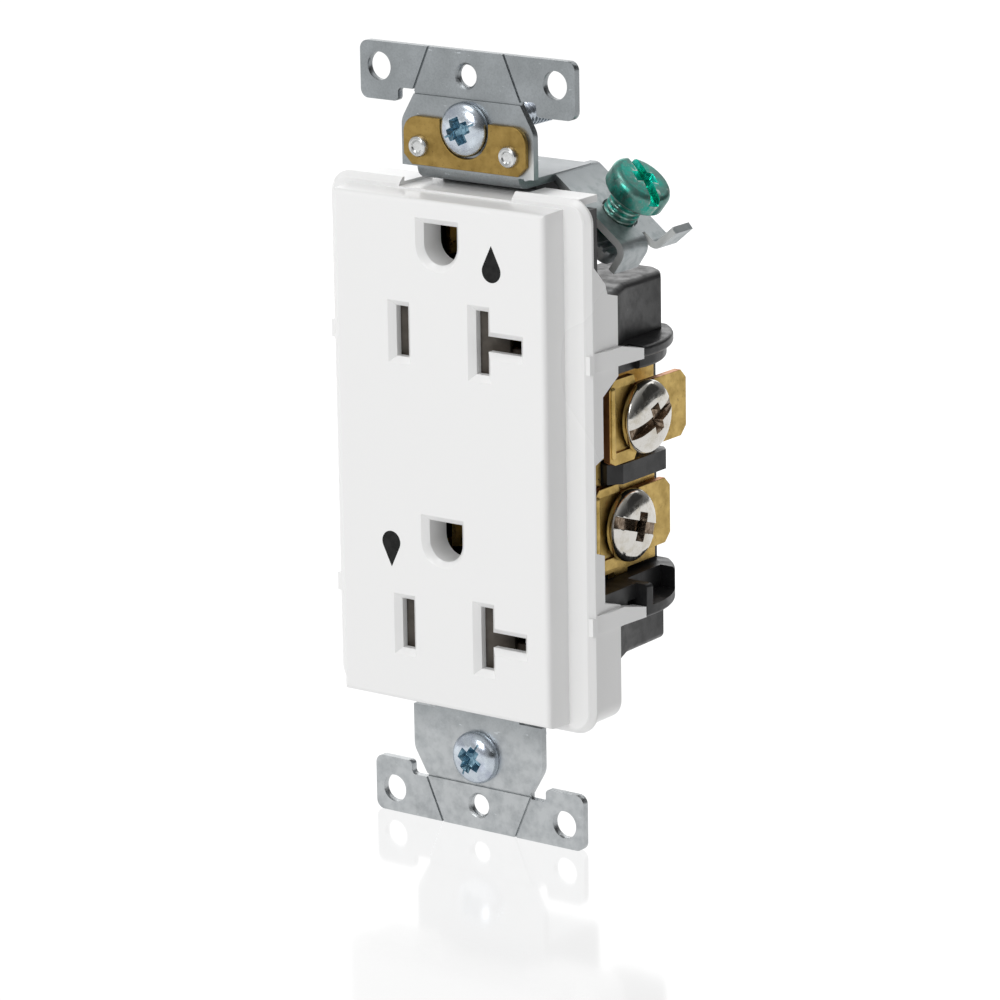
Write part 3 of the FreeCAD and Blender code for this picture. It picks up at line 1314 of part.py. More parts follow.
def lower_barrier():
    """The ledge below the terminals: a trough with a wall behind it."""
    bottom = d.body_middle - d.guard_low
    top = d.body_middle - d.barrier_low
    slab = barrier_slab("lower_barrier_slab", 0, bottom, top)
    troughs = [
        box(
            f"{side}_lower_trough", span(sign, d.cavity_half, d.barrier_half + OVERCUT),
            (d.arm_end + d.hook_room + d.block_wall, d.block_back - d.guard_wall),
            (bottom + d.ledge_thick, top + OVERCUT),
        )
        for side, sign in SIDES.items()
    ]
    return cut("lower_barrier", slab, *troughs)


def rear_body():
    wrap_front = d.shelf_end - d.strap_thick - d.channel_ease / 2
    rim = box(
        "body_rim", (-d.body_half, d.body_half), (-d.rim_front, d.rim_back), (-d.rim_up, d.rim_up)
    )
    shoulder = [
        (d.body_half, 0), (d.body_half, d.block_nose),
        (d.block_half + d.shoulder_flare, d.block_nose + d.shoulder_run),
        (d.block_half, d.block_back - d.tail_run),
        (d.block_half - d.tail_side_in, d.block_back - d.tail_side_deep),
        (d.block_half - d.tail_in, d.block_back),
    ]
    plan = shoulder + [(-across, deep) for across, deep in reversed(shoulder)]
    blocks = pad("body_blocks", "XY", d.block_bottom, d.block_top - d.block_bottom, plan)

    def shoulder_edge(edge):
        top = near(edge.BoundBox.ZMin, d.block_top) and near(edge.BoundBox.ZMax, d.block_top)
        bottom = near(edge.BoundBox.ZMin, d.block_bottom) and near(edge.BoundBox.ZMax, d.block_bottom)
        return (top or bottom) and edge.BoundBox.YMax > float(d.block_nose) + TOLERANCE

    softened = soften("body_softened", blocks, "Fillet", d.body_round, shoulder_edge)
    spine = box(
        "body_spine", (-d.spine_half, d.spine_half), (d.skirt_end + d.fit_gap, wrap_front),
        (-d.spine_up, d.spine_up),
    )

    collar = box(
        "body_collar", (-d.spine_half, d.spine_half), (0, d.skirt_end + 2 * d.fit_gap),
        (-d.rim_up, d.rim_up),
    )

    def spine_edge(edge):
        return runs_along(edge, Vector(1, 0, 0)) and near(edge.BoundBox.YMin, wrap_front)

    spine_soft = soften("body_spine_softened", spine, "Fillet", d.body_round, spine_edge)
    hump = box(
        "body_hump", (-d.hump_half, d.hump_half), (d.block_back - OVERCUT, d.hump_back),
        (d.body_middle - d.hump_up, d.body_middle + d.hump_up),
    )

    def hump_edge(edge):
        return edge.BoundBox.YMax > float(d.block_back) + TOLERANCE

    hump_soft = soften("body_hump_softened", hump, "Fillet", d.hump_round, hump_edge)
    solid = fuse(
        "body_solid", rim, softened, spine_soft, collar, hump_soft, upper_barrier(), lower_barrier()
    )
    tools = [
        box(
            "body_cavity", (-d.cavity_half, d.cavity_half), (-d.rim_front - OVERCUT, d.cavity_back),
            (d.block_bottom + d.block_wall, d.block_top - d.block_wall),
        ),
        box(
            "body_spine_cavity", (d.block_wall - d.spine_half, d.spine_half - d.block_wall),
            (-d.rim_front - OVERCUT, d.cavity_back), (d.block_wall - d.rim_up, d.rim_up - d.block_wall),
        ),
        box(
            "body_channel", (-d.wrap_half - d.channel_ease, d.wrap_half + d.channel_ease),
            (wrap_front, d.hump_back + OVERCUT), (-d.flange_up, d.flange_up),
        ),
    ]
    for side, sign in SIDES.items():
        tools += side_openings(side, sign)
    for level in LEVELS:
        tools.append(
            rod(
                f"{level}_body_pin_hole", "+Y", d.pin_rivet_shank, 4 * OVERCUT,
                0, d.cavity_back - OVERCUT, pin_rivet_height(level),
            )
        )
    hollow = cut("body_hollow", solid, *tools)
    dividers = [divider(side, sign) for side, sign in SIDES.items()]
    return fuse("rear_body", hollow, *dividers)


def span(sign, low, high):
    """A span across the object, mirrored for the line side."""
    return (low, high) if sign > 0 else (-size(high), -size(low))


def side_openings(side, sign):
    """The terminal recess, the slots for the strip's legs and the pockets for the latch hooks."""
    low = d.body_middle - d.barrier_low
    high = d.body_middle + d.barrier_low
    outside = d.barrier_half + 2 * OVERCUT
    legs = span(sign, d.cavity_half - OVERCUT, d.strip_in + d.strip_thick + d.fit_gap / 2)
    leg_room = (-d.rim_front - OVERCUT, d.leg_back + d.fit_gap)
    tools = [
        box(
            f"{side}_recess", span(sign, d.recess_half, outside),
            (-d.rim_front - OVERCUT, d.block_back + OVERCUT), (low, high),
        ),
        box(
            f"{side}_leg_slot_upper", legs, leg_room,
            (high - OVERCUT, OUTLETS["upper"] + d.leaf_up + d.fit_gap * 2),
        ),
        box(
            f"{side}_leg_slot_lower", legs, leg_room,
            (OUTLETS["lower"] - d.leaf_up - d.fit_gap / 2, low + OVERCUT),
        ),
    ]
    for level, up in LEVELS.items():
        height = d.body_middle + up * d.arm_up
        tools.append(
            box(
                f"{side}_{level}_hook_pocket", span(sign, d.hook_in - d.fit_gap, outside),
                (d.hook_start - d.fit_gap, d.arm_end + d.hook_room),
                (
                    height - d.arm_drop - d.arm_tip_half - d.fit_gap,
                    height + d.arm_tip_half + d.fit_gap,
                ),
            )
        )
        tools.append(
            rod(
                f"{side}_{level}_screw_room", {1: "+X", -1: "-X"}[sign], d.term_bore + d.fit_gap * 3,
                d.recess_half, d.screw_room * sign, d.screw_deep, terminal_height(level),
            )
        )
    return tools


def divider(side, sign):
    """The fin between the two terminals of one side."""
    half_tall = d.divider_tall / 2
    inner = d.recess_half - d.mould_join
    outline = [
        (inner, d.divider_front), (d.divider_half - d.divider_bevel, d.divider_front),
        (d.divider_half, d.divider_front + d.divider_bevel),
        (d.divider_half, d.divider_back - d.divider_back_bevel),
        (d.divider_half - d.divider_back_bevel, d.divider_back), (inner, d.divider_back),
    ]
    if sign < 0:
        outline = [(-across, deep) for across, deep in outline]
    return pad(f"{side}_divider", "XY", d.body_middle - half_tall, d.divider_tall, outline)


# ---------------------------------------------------------------------------
# Side terminals
# ---------------------------------------------------------------------------
def clamp_face(level):
    """Distance from the centre of a clamp plate's inner face."""
    closed = d.strip_in + d.strip_thick + d.clamp_rest
    return closed + (d.clamp_open if level == "upper" else 0)


def terminal_strip(side):
    """Two pads joined by a break-off tab, with a leg to each outlet's contact."""
    sign = SIDES[side]
    across = span(sign, d.strip_in, d.strip_in + d.strip_thick)
    pieces = []
    for level, up in LEVELS.items():
        near_edge = d.body_middle + up * d.pad_near
        far_edge = d.body_middle + up * d.pad_far
        leg_end = OUTLETS[level] + up * d.leaf_up
        pads = (near_edge, far_edge) if up > 0 else (far_edge, near_edge)
        legs = (far_edge - d.mould_join, leg_end) if up > 0 else (leg_end, far_edge + d.mould_join)
        pieces.append(box(f"{side}_{level}_pad", across, (d.strip_front, d.strip_back), pads))
        pieces.append(box(f"{side}_{level}_leg", across, (d.leg_front, d.leg_back), legs))
    pieces.append(
        box(
            f"{side}_tab", across, (d.strip_front, d.tab_back),
            (d.body_middle - d.pad_near - d.mould_join, d.body_middle + d.pad_near + d.mould_join),
        )
    )
    joined = fuse(f"{side}_strip_joined", *pieces)
    holes = [
        rod(
            f"{side}_{level}_strip_hole", "+X", d.term_bore, 4 * OVERCUT,
            across[0] - OVERCUT, d.screw_deep, terminal_height(level),
        )
        for level in LEVELS
    ]
    return cut(f"{side}_strip", joined, *holes)


def clamp_plate(side, level):
    """A wire clamp: a tall dished front, a narrower rear wing and chamfered corners."""
    height = terminal_height(level)
    inner = clamp_face(level)
    sign = SIDES[side]
    across = span(sign, inner, inner + d.clamp_thick)
    half = d.clamp_tall / 2
    wing = d.clamp_wing / 2
    lift = d.clamp_lift
    bevel = d.clamp_bevel
    outline = [
        (d.clamp_front + bevel, height + lift - half),
        (d.clamp_waist - bevel / 2, height + lift - half),
        (d.clamp_waist, height - wing),
        (d.clamp_back - bevel, height - wing),
        (d.clamp_back, height - wing + bevel),
        (d.clamp_back, height + wing - bevel),
        (d.clamp_back - bevel, height + wing),
        (d.clamp_waist, height + wing),
        (d.clamp_waist - bevel / 2, height + lift + half),
        (d.clamp_front + bevel, height + lift + half),
        (d.clamp_front, height + lift + half - bevel),
        (d.clamp_front, height + lift - half + bevel / 2),
    ]
    name = f"{side}_{level}_clamp"
    plate = pad(f"{name}_plate", "YZ", across[0], d.clamp_thick, outline)
    outer = span(sign, inner + d.clamp_thick - d.clamp_dish, inner + d.clamp_thick + OVERCUT)
    dish = box(
        f"{name}_dish", outer, (d.clamp_front + d.clamp_rim, d.clamp_waist + 4 * OVERCUT),
        (height + lift - half + d.dish_low, height + lift + half - d.dish_high),
    )
    hole = rod(
        f"{name}_hole", "+X", d.term_bore, 4 * OVERCUT, across[0] - OVERCUT, d.screw_deep, height
    )
    slit_ends = (
        (height - wing - OVERCUT, height - wing + d.slit_long),
        (height + wing - d.slit_long, height + wing + OVERCUT),
    )
    slits = [
        box(
            f"{name}_slit_{index}", span(sign, inner - OVERCUT, inner + d.clamp_thick + OVERCUT),
            (d.clamp_waist, d.clamp_waist + d.slit_wide), ends,
        )
        for index, ends in enumerate(slit_ends)
    ]
    return cut(name, plate, dish, hole, *slits)


# ---------------------------------------------------------------------------
# Contacts and ground bus
# ---------------------------------------------------------------------------
def fork_outline(gap, web_front, web_back):
    """The plan of a two-leaf contact that is open to the front."""
    outer = gap + d.leaf_thick
    mouth = -d.leaf_mouth
    return [
        (-outer - d.leaf_flare, mouth), (-outer, d.leaf_throat), (-outer, web_back),
        (outer, web_back), (outer, d.leaf_throat), (outer + d.leaf_flare, mouth),
        (gap + d.leaf_flare, mouth), (gap, d.leaf_throat), (gap, web_front),
        (-gap, web_front), (-gap, d.leaf_throat), (-gap - d.leaf_flare, mouth),
    ]


def blade_contact(side, level):
    """A blade contact with an arm to its strip; the neutral one also takes a level blade."""
    name = f"{side}_{level}_contact"
    sign = SIDES[side]
    fork = pad(
        f"{name}_fork", "XY", -d.leaf_up, 2 * d.leaf_up, fork_outline(d.leaf_gap, d.web_front, d.web_back)
    )
    centre = shift(fork, sign * d.blade_across, 0, OUTLETS[level])
    reach = span(sign, d.blade_across + d.leaf_gap, d.strip_in)
    arm = box(
        f"{name}_arm", reach, (d.web_front, d.web_back),
        (OUTLETS[level] - d.leaf_up, OUTLETS[level] + d.leaf_up),
    )
    if side == "hot":
        return fuse(name, centre, arm)
    gap = box(
        f"{name}_level_gap", (d.blade_across, d.strip_in + OVERCUT), (-2 * OVERCUT, d.web_front),
        (OUTLETS[level] - d.leaf_gap, OUTLETS[level] + d.leaf_gap),
    )
    leaves = []
    tip = d.blade_across + d.tee_reach
    for index, up in enumerate((-1, 1)):
        inner_face = OUTLETS[level] + up * d.leaf_gap
        outer_face = OUTLETS[level] + up * (d.leaf_gap + d.leaf_thick)
        ends = (inner_face, outer_face) if up > 0 else (outer_face, inner_face)
        leaves.append(
            box(
                f"{name}_level_leaf_{index}", (d.blade_across + d.leaf_gap, tip),
                (d.leaf_throat, d.web_back), ends,
            )
        )
    split = cut(f"{name}_split", centre, gap)
    return fuse(name, split, arm, *leaves)


def ground_contact(level):
    """A two-leaf contact with a tab below it that is riveted through the body to the strap."""
    height = OUTLETS[level] + d.pin_up
    name = f"ground_{level}_contact"
    fork = pad(
        f"{name}_fork", "XY", -d.pin_leaf_up, 2 * d.pin_leaf_up,
        fork_outline(d.pin_gap, d.pin_web_front, d.pin_web_back),
    )
    tab = box(
        f"{name}_tab", (-d.pin_gap, d.pin_gap), (d.pin_web_front, d.pin_web_back),
        (height - d.pin_tab_drop, height),
    )
    joined = fuse(f"{name}_joined", shift(fork, 0, 0, height), tab)
    hole = rod(
        f"{name}_hole", "+Y", d.pin_rivet_shank, 4 * OVERCUT,
        0, d.pin_web_front - OVERCUT, pin_rivet_height(level),
    )
    return cut(name, joined, hole)


def ground_rivets():
    group = doc.addObject("Part::Compound", "ground_rivets")
    group.Links = [
        rivet(
            f"{level}_ground_rivet", d.pin_rivet_head, d.pin_rivet_rise, d.pin_rivet_shank,
            d.shelf_end - d.pin_web_front, "+Y", 0, d.shelf_end, pin_rivet_height(level),
        )
        for level in LEVELS
    ]
    return group


# ---------------------------------------------------------------------------
# The whole receptacle
# ---------------------------------------------------------------------------
def build():
    parts = [
        face_cover(),
        rear_body(),
        mounting_strap(),
        grounding_clip(),
        clip_rivets(),
        ground_screw(),
        ground_clamp_plate(),
        ground_rivets(),
    ]
    for level in LEVELS:
        parts += [
            mounting_screw(level),
            screw_retainer(level),
            shutter_tray(level),
            shutter(level),
            shutter_spring(level),
            ground_contact(level),
        ]
    for side in SIDES:
        parts.append(terminal_strip(side))
        for level in LEVELS:
            parts += [clamp_plate(side, level), terminal_screw(side, level), blade_contact(side, level)]
    doc.recompute()
    return parts


def check(parts):
    for item in doc.Objects:
        if "Invalid" in item.State or "Error" in item.State:
            raise RuntimeError(f"{item.Label}: {item.State}")
    for part in parts:
        if part.Shape.isNull() or not part.Shape.isValid():
            raise RuntimeError(f"{part.Label}: the shape is null or not valid")


def write(parts):
    os.makedirs("parts", exist_ok=True)
    for part in parts:
        part.Shape.exportStep(f"parts/{part.Label}.step")
        solids = len(part.Shape.Solids)
        print(f"{part.Label:28s} solids {solids}  volume {part.Shape.Volume:9.2f}")


finished = build()
check(finished)
write(finished)
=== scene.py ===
import json
import math

import bmesh
import bpy
from mathutils import Matrix, Vector


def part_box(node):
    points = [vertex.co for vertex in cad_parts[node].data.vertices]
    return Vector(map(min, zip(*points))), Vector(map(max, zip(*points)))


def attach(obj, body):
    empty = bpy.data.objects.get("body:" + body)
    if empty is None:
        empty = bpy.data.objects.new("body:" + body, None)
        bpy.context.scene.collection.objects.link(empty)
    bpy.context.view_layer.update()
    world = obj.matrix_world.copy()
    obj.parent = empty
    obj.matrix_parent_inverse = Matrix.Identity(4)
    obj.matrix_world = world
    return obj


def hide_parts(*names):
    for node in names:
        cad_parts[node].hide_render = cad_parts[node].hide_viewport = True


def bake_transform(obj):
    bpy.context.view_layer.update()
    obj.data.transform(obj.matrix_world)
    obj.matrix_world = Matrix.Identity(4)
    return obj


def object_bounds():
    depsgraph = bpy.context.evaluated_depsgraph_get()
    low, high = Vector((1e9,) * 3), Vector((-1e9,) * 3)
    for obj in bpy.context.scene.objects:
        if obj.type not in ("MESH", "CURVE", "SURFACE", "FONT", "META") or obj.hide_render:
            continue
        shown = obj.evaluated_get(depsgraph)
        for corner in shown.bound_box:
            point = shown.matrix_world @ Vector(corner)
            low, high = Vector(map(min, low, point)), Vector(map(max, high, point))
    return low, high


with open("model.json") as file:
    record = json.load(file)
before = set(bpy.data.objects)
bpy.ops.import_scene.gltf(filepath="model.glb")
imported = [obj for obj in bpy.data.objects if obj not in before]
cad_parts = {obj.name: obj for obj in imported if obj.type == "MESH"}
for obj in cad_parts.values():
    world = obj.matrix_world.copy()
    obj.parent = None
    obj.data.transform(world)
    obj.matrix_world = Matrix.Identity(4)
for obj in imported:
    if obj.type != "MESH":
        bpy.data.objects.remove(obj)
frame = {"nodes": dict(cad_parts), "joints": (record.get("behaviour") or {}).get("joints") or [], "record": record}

# Lengths are in metres, in the frame of the CAD model: +X right, +Y into the wall, +Z up.
MM = 0.001
CAD_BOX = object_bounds()
JOINTS = {joint["name"]: joint for joint in frame["joints"]}
BODY_OF = {node: body for body, nodes in frame["record"]["behaviour"]["bodies"].items() for node in nodes}


# ---------------------------------------------------------------------------
# Camera, floor and light
# ---------------------------------------------------------------------------
CAMERA_PLACE = Vector((0.375111, -0.499989, 0.158290))
CAMERA_LOOK = Vector((-0.57661, 0.77589, -0.25595))
CAMERA_UP = Vector((-0.13960, 0.21510, 0.96656))
CAMERA_LENS = 180.08
SENSOR_WIDTH = 36.0
CLIP_START = 0.01


def camera():
    data = bpy.data.cameras.new("camera")
    data.lens = CAMERA_LENS
    data.sensor_width = SENSOR_WIDTH
    data.clip_start = CLIP_START
    item = bpy.data.objects.new("camera", data)
    bpy.context.collection.objects.link(item)
    back = -CAMERA_LOOK.normalized()
    right = CAMERA_UP.cross(back).normalized()
    up = back.cross(right)
    turn = Matrix((right, up, back)).transposed().to_4x4()
    item.matrix_world = Matrix.Translation(CAMERA_PLACE) @ turn
    bpy.context.scene.camera = item


# Name, place, width, height and watts of each lamp; all of them look at the origin.
SOFTBOXES = (
    ("key", (0.04, -1.0, 0.62), 0.5, 0.5, 4.5),
    ("top", (-0.1, -0.25, 1.0), 0.5, 0.5, 2.2),
    ("rear", (-0.62, 0.83, 0.32), 0.9, 0.5, 1.5),
    ("rear_high", (0.12, 0.80, 0.64), 0.4, 0.4, 0.5),
)


def softbox(name, place, wide, tall, power):
    data = bpy.data.lights.new(name, "AREA")
    data.shape = "RECTANGLE"
    data.size = wide
    data.size_y = tall
    data.energy = power
    item = bpy.data.objects.new(name, data)
    bpy.context.collection.objects.link(item)
    item.visible_camera = False
    aim = -Vector(place)
    item.matrix_world = Matrix.Translation(place) @ aim.to_track_quat("-Z", "Y").to_matrix().to_4x4()


# The sky fades from its bright side to its dark side between two heights along LIGHT_FROM.
LIGHT_FROM = Vector((-0.80, -0.10, 0.62))
SKY_BRIGHT = 0.60
SKY_DARK = 0.05
SKY_DARK_AT = -0.7
SKY_BRIGHT_AT = 0.8


def sky():
    """A white sky, bright on one side and dark on the other, and plain white to the camera."""
    world = bpy.data.worlds.new("studio")
    world.use_nodes = True
    nodes, links = world.node_tree.nodes, world.node_tree.links
    background = nodes["Background"]
    background.inputs["Color"].default_value = (1.0, 1.0, 1.0, 1.0)
    direction = nodes.new("ShaderNodeTexCoord")
    along = nodes.new("ShaderNodeVectorMath")
    along.operation = "DOT_PRODUCT"
    along.inputs[1].default_value = LIGHT_FROM.normalized()
    links.new(direction.outputs["Generated"], along.inputs[0])
    level = nodes.new("ShaderNodeMapRange")
    level.interpolation_type = "SMOOTHSTEP"
    level.inputs["From Min"].default_value = SKY_DARK_AT
    level.inputs["From Max"].default_value = SKY_BRIGHT_AT
    level.inputs["To Min"].default_value = SKY_DARK
    level.inputs["To Max"].default_value = SKY_BRIGHT
    links.new(along.outputs["Value"], level.inputs["Value"])
    path = nodes.new("ShaderNodeLightPath")
    seen = nodes.new("ShaderNodeMix")
    links.new(path.outputs["Is Camera Ray"], seen.inputs["Factor"])
    links.new(level.outputs["Result"], seen.inputs["A"])
    seen.inputs["B"].default_value = 1.0
    links.new(seen.outputs["Result"], background.inputs["Strength"])
    bpy.context.scene.world = world


CARD_PLACE = Vector((0.30, 0.30, 0.20))
CARD_WIDE = 0.40
CARD_TALL = 0.26


def dark_card():
    """A dark card to the right, behind the object, that only shows in polished surfaces."""
    shape = bmesh.new()
    bmesh.ops.create_grid(shape, x_segments=1, y_segments=1, size=0.5)
    item = finish_mesh("card_right", shape, 0)
    turn = (-CARD_PLACE).to_track_quat("Z", "Y").to_matrix().to_4x4()
    size = Matrix.Diagonal((CARD_WIDE, CARD_TALL, 1.0, 1.0))
    item.matrix_world = Matrix.Translation(CARD_PLACE) @ turn @ size
    item.data.materials.append(Surface("card_dark", (0.02, 0.02, 0.02), 0.9).material)
    item.visible_camera = False
    item.visible_diffuse = False
    item.visible_transmission = False
    item.visible_shadow = False


FLOOR_REACH = 6.0
FLOOR_GLOW = 0.86
FLOOR_ROUGHNESS = 0.1
FLOOR_IOR = 1.3


def white_floor():
    """A glossy white floor under the lower ear, as bright as the sky behind it."""
    shape = bmesh.new()
    bmesh.ops.create_grid(shape, x_segments=1, y_segments=1, size=FLOOR_REACH)
    floor = finish_mesh("studio_floor", shape, 0)
    floor.location.z = CAD_BOX[0][2]
    surface = Surface("floor_white", (0.0, 0.0, 0.0), FLOOR_ROUGHNESS)
    surface.shader.inputs["IOR"].default_value = FLOOR_IOR
    surface.shader.inputs["Emission Color"].default_value = (1.0, 1.0, 1.0, 1.0)
    surface.shader.inputs["Emission Strength"].default_value = FLOOR_GLOW
    floor.data.materials.append(surface.material)


def studio():
    sky()
    bpy.context.scene.view_settings.view_transform = "Standard"
    for lamp in SOFTBOXES:
        softbox(*lamp)
    white_floor()
    dark_card()


# ---------------------------------------------------------------------------
# Materials
# ---------------------------------------------------------------------------
class Surface:
    """A Principled material with short calls for procedural detail."""

    def __init__(self, name, colour, roughness, metallic=0.0):
        self.material = bpy.data.materials.new(name)
        self.material.use_nodes = True
        self.nodes = self.material.node_tree.nodes
        self.links = self.material.node_tree.links
        self.shader = self.nodes["Principled BSDF"]
        self.shader.inputs["Base Color"].default_value = (*colour, 1.0)
        self.shader.inputs["Roughness"].default_value = roughness
        self.shader.inputs["Metallic"].default_value = metallic
        self.place = self.nodes.new("ShaderNodeTexCoord").outputs["Object"]
        self.normal = None

    def noise(self, size, detail=4.0, stretch=(1.0, 1.0, 1.0)):
        """A noise whose features are about this many metres across."""
        mapping = self.nodes.new("ShaderNodeMapping")
        mapping.inputs["Scale"].default_value = [1.0 / part for part in stretch]
        self.links.new(self.place, mapping.inputs["Vector"])
        texture = self.nodes.new("ShaderNodeTexNoise")
        texture.inputs["Scale"].default_value = 1.0 / size
        texture.inputs["Detail"].default_value = detail
        texture.inputs["Roughness"].default_value = 0.6
        self.links.new(mapping.outputs["Vector"], texture.inputs["Vector"])
        return texture.outputs["Fac"]

    def patches(self, size, low, high, most=1.0, detail=4.0):
        """A mask that goes from 0 to its most where a noise of this size goes from low to high."""
        return self.spread(self.noise(size, detail), low, high, 0.0, most)

    def edges(self, low, high):
        """1 on outward edges and 0 on flat ground."""
        geometry = self.nodes.new("ShaderNodeNewGeometry")
        return self.spread(geometry.outputs["Pointiness"], low, high, 0.0, 1.0)

    def part_of(self, vector, axis):
        """One coordinate of a vector."""
        split = self.nodes.new("ShaderNodeSeparateXYZ")
        self.links.new(vector, split.inputs["Vector"])
        return split.outputs[axis]

    def facing(self, axis, low, high):
        """1 where the surface looks along an axis of the frame, either way, and 0 where it doesn't."""
        normal = self.nodes.new("ShaderNodeTexCoord").outputs["Normal"]
        size = self.math("ABSOLUTE", self.part_of(normal, axis))
        return self.spread(size, low, high, 0.0, 1.0)

    def past(self, axis, low, high):
        """0 before one place along an axis of the frame and 1 after another."""
        return self.spread(self.part_of(self.place, axis), low, high, 0.0, 1.0)

    def both(self, first, second):
        """1 where two masks are both 1."""
        return self.math("MULTIPLY", first, second)

    def math(self, operation, first, second=None):
        node = self.nodes.new("ShaderNodeMath")
        node.operation = operation
        for socket, value in zip(node.inputs, (first, second)):
            if isinstance(value, (int, float)):
                socket.default_value = value
            elif value is not None:
                self.links.new(value, socket)
        return node.outputs["Value"]

    def spread(self, value, low, high, start, end):
        """Maps low..high to start..end, and holds the ends."""
        node = self.nodes.new("ShaderNodeMapRange")
        for key, number in (("From Min", low), ("From Max", high), ("To Min", start), ("To Max", end)):
            node.inputs[key].default_value = number
        self.links.new(value, node.inputs["Value"])
        return node.outputs["Result"]

    def colour(self, mask, colour):
        """Paints a colour over what is there, where the mask is 1."""
        base = self.shader.inputs["Base Color"]
        node = self.nodes.new("ShaderNodeMix")
        node.data_type = "RGBA"
        under, over = node.inputs["A"], node.inputs["B"]
        if base.is_linked:
            self.links.new(base.links[0].from_socket, under)
        else:
            under.default_value = base.default_value
        over.default_value = (*colour, 1.0)
        self.links.new(mask, node.inputs["Factor"])
        self.links.new(node.outputs["Result"], base)

    def blend(self, socket, mask, value):
        """Blends one of the shader's numbers towards a value where the mask is 1."""
        base = self.shader.inputs[socket]
        node = self.nodes.new("ShaderNodeMix")
        under, over = node.inputs["A"], node.inputs["B"]
        if base.is_linked:
            self.links.new(base.links[0].from_socket, under)
        else:
            under.default_value = base.default_value
        over.default_value = value
        self.links.new(mask, node.inputs["Factor"])
        self.links.new(node.outputs["Result"], base)

    def bump(self, value, height):
        """Raises the surface by a height in metres where the value is 1."""
        node = self.nodes.new("ShaderNodeBump")
        node.inputs["Distance"].default_value = height
        node.inputs["Strength"].default_value = 1.0
        if self.normal is not None:
            self.links.new(self.normal, node.inputs["Normal"])
        self.links.new(value, node.inputs["Height"])
        self.links.new(node.outputs["Normal"], self.shader.inputs["Normal"])
        self.normal = node.outputs["Normal"]


def face_white():
    """Glossy moulded plastic, almost without a mark."""
    surface = Surface("face_white", (0.86, 0.86, 0.857), 0.27)
    surface.colour(surface.patches(60 * MM, 0.2, 0.8, detail=0), (0.866, 0.866, 0.863))
    surface.blend("Roughness", surface.patches(60 * MM, 0.2, 0.8, detail=0), 0.28)
    surface.bump(surface.noise(8 * MM, detail=0), 0.0002 * MM)
    surface.shader.inputs["Coat Weight"].default_value = 0.2
    surface.shader.inputs["Coat Roughness"].default_value = 0.15
    return surface.material


def body_black():
    """Satin moulded plastic with a few grey specks and shallow sink marks."""
    surface = Surface("body_black", (0.012, 0.012, 0.013), 0.3)
    surface.colour(surface.patches(4 * MM, 0.4, 0.7), (0.022, 0.022, 0.023))
    surface.colour(surface.patches(0.35 * MM, 0.68, 0.74, 0.5), (0.12, 0.12, 0.115))
    surface.blend("Roughness", surface.patches(1.8 * MM, 0.4, 0.62), 0.46)
    surface.bump(surface.noise(0.4 * MM), 0.012 * MM)
    surface.bump(surface.noise(5 * MM, detail=1), 0.06 * MM)
    return surface.material


# Where the strap's colour changes: down its lower neck, which is painted lighter as painted light, and over the
# ground terminal on its right.
LOWER_NECK = (-34 * MM, -40 * MM)
TERMINAL_LEFT = (8 * MM, 11 * MM)
TERMINAL_TOP = (40 * MM, 38 * MM)
TERMINAL_FOOT = (0.0, 1 * MM)
PLATE = (0.36, 0.385, 0.40)
PLATE_SHADE = (0.28, 0.30, 0.31)
PLATE_ROUGHNESS = 0.3


def strap_steel():
    """Zinc plate on rolled sheet, painted lighter on the lower ear as painted light, and duller on the ground
    terminal, whose cut edges are painted light grey, partly bare steel and partly painted light.
    """
    surface = Surface("strap_steel", PLATE, PLATE_ROUGHNESS, 1.0)
    surface.colour(surface.patches(5 * MM, 0.35, 0.65, 0.8, detail=2), PLATE_SHADE)
    grain = surface.noise(0.22 * MM, detail=2)
    speckle = surface.spread(grain, 0.35, 0.6, 0.35, 0.0)
    surface.colour(speckle, tuple(part * 0.6 for part in PLATE_SHADE))
    scuffs = surface.noise(1.1 * MM, detail=6, stretch=(2.0, 1.0, 0.6))
    surface.colour(surface.spread(scuffs, 0.66, 0.7, 0.0, 0.8), tuple(part * 1.7 for part in PLATE))
    surface.blend("Roughness", surface.spread(grain, 0.35, 0.65, 0.0, 1.0), PLATE_ROUGHNESS + 0.12)
    surface.bump(grain, 0.008 * MM)
    surface.bump(surface.noise(2.5 * MM, detail=2), 0.02 * MM)

    # Painted light: the lower neck and ear are painted lighter, in mottled patches.
    lower = surface.math("MULTIPLY", surface.past("Z", *LOWER_NECK), 0.75)
    mottle = surface.spread(surface.noise(1.6 * MM), 0.3, 0.6, 0.4, 1.0)
    surface.colour(surface.both(lower, mottle), (0.60, 0.62, 0.63))

    height = surface.both(surface.past("Z", *TERMINAL_TOP), surface.past("Z", *TERMINAL_FOOT))
    terminal = surface.both(surface.past("X", *TERMINAL_LEFT), height)
    surface.colour(terminal, (0.45, 0.48, 0.49))
    surface.blend("Metallic", terminal, 0.72)
    surface.colour(surface.both(terminal, surface.patches(1.4 * MM, 0.45, 0.62, 0.7)), (0.30, 0.34, 0.35))
    # Partly painted light: the terminal's edges that face front and back are its bare cut steel, made less
    # metallic, and painted a light grey that stands in for the light they catch.
    sheared = surface.both(terminal, surface.facing("Y", 0.8, 0.95))
    surface.colour(sheared, (0.74, 0.75, 0.74))
    surface.blend("Metallic", sheared, 0.25)
    return surface.material


def brass(name, colour, shade, rough):
    """Rolled brass with a blotchy tarnish and dark specks."""
    surface = Surface(name, colour, rough, 1.0)
    surface.colour(surface.patches(2.6 * MM, 0.38, 0.62), shade)
    grain = surface.noise(0.35 * MM, detail=6)
    surface.colour(surface.spread(grain, 0.6, 0.72, 0.0, 0.6), (0.10, 0.06, 0.02))
    surface.blend("Roughness", surface.patches(0.9 * MM, 0.35, 0.65), rough + 0.2)
    surface.bump(grain, 0.012 * MM)
    return surface


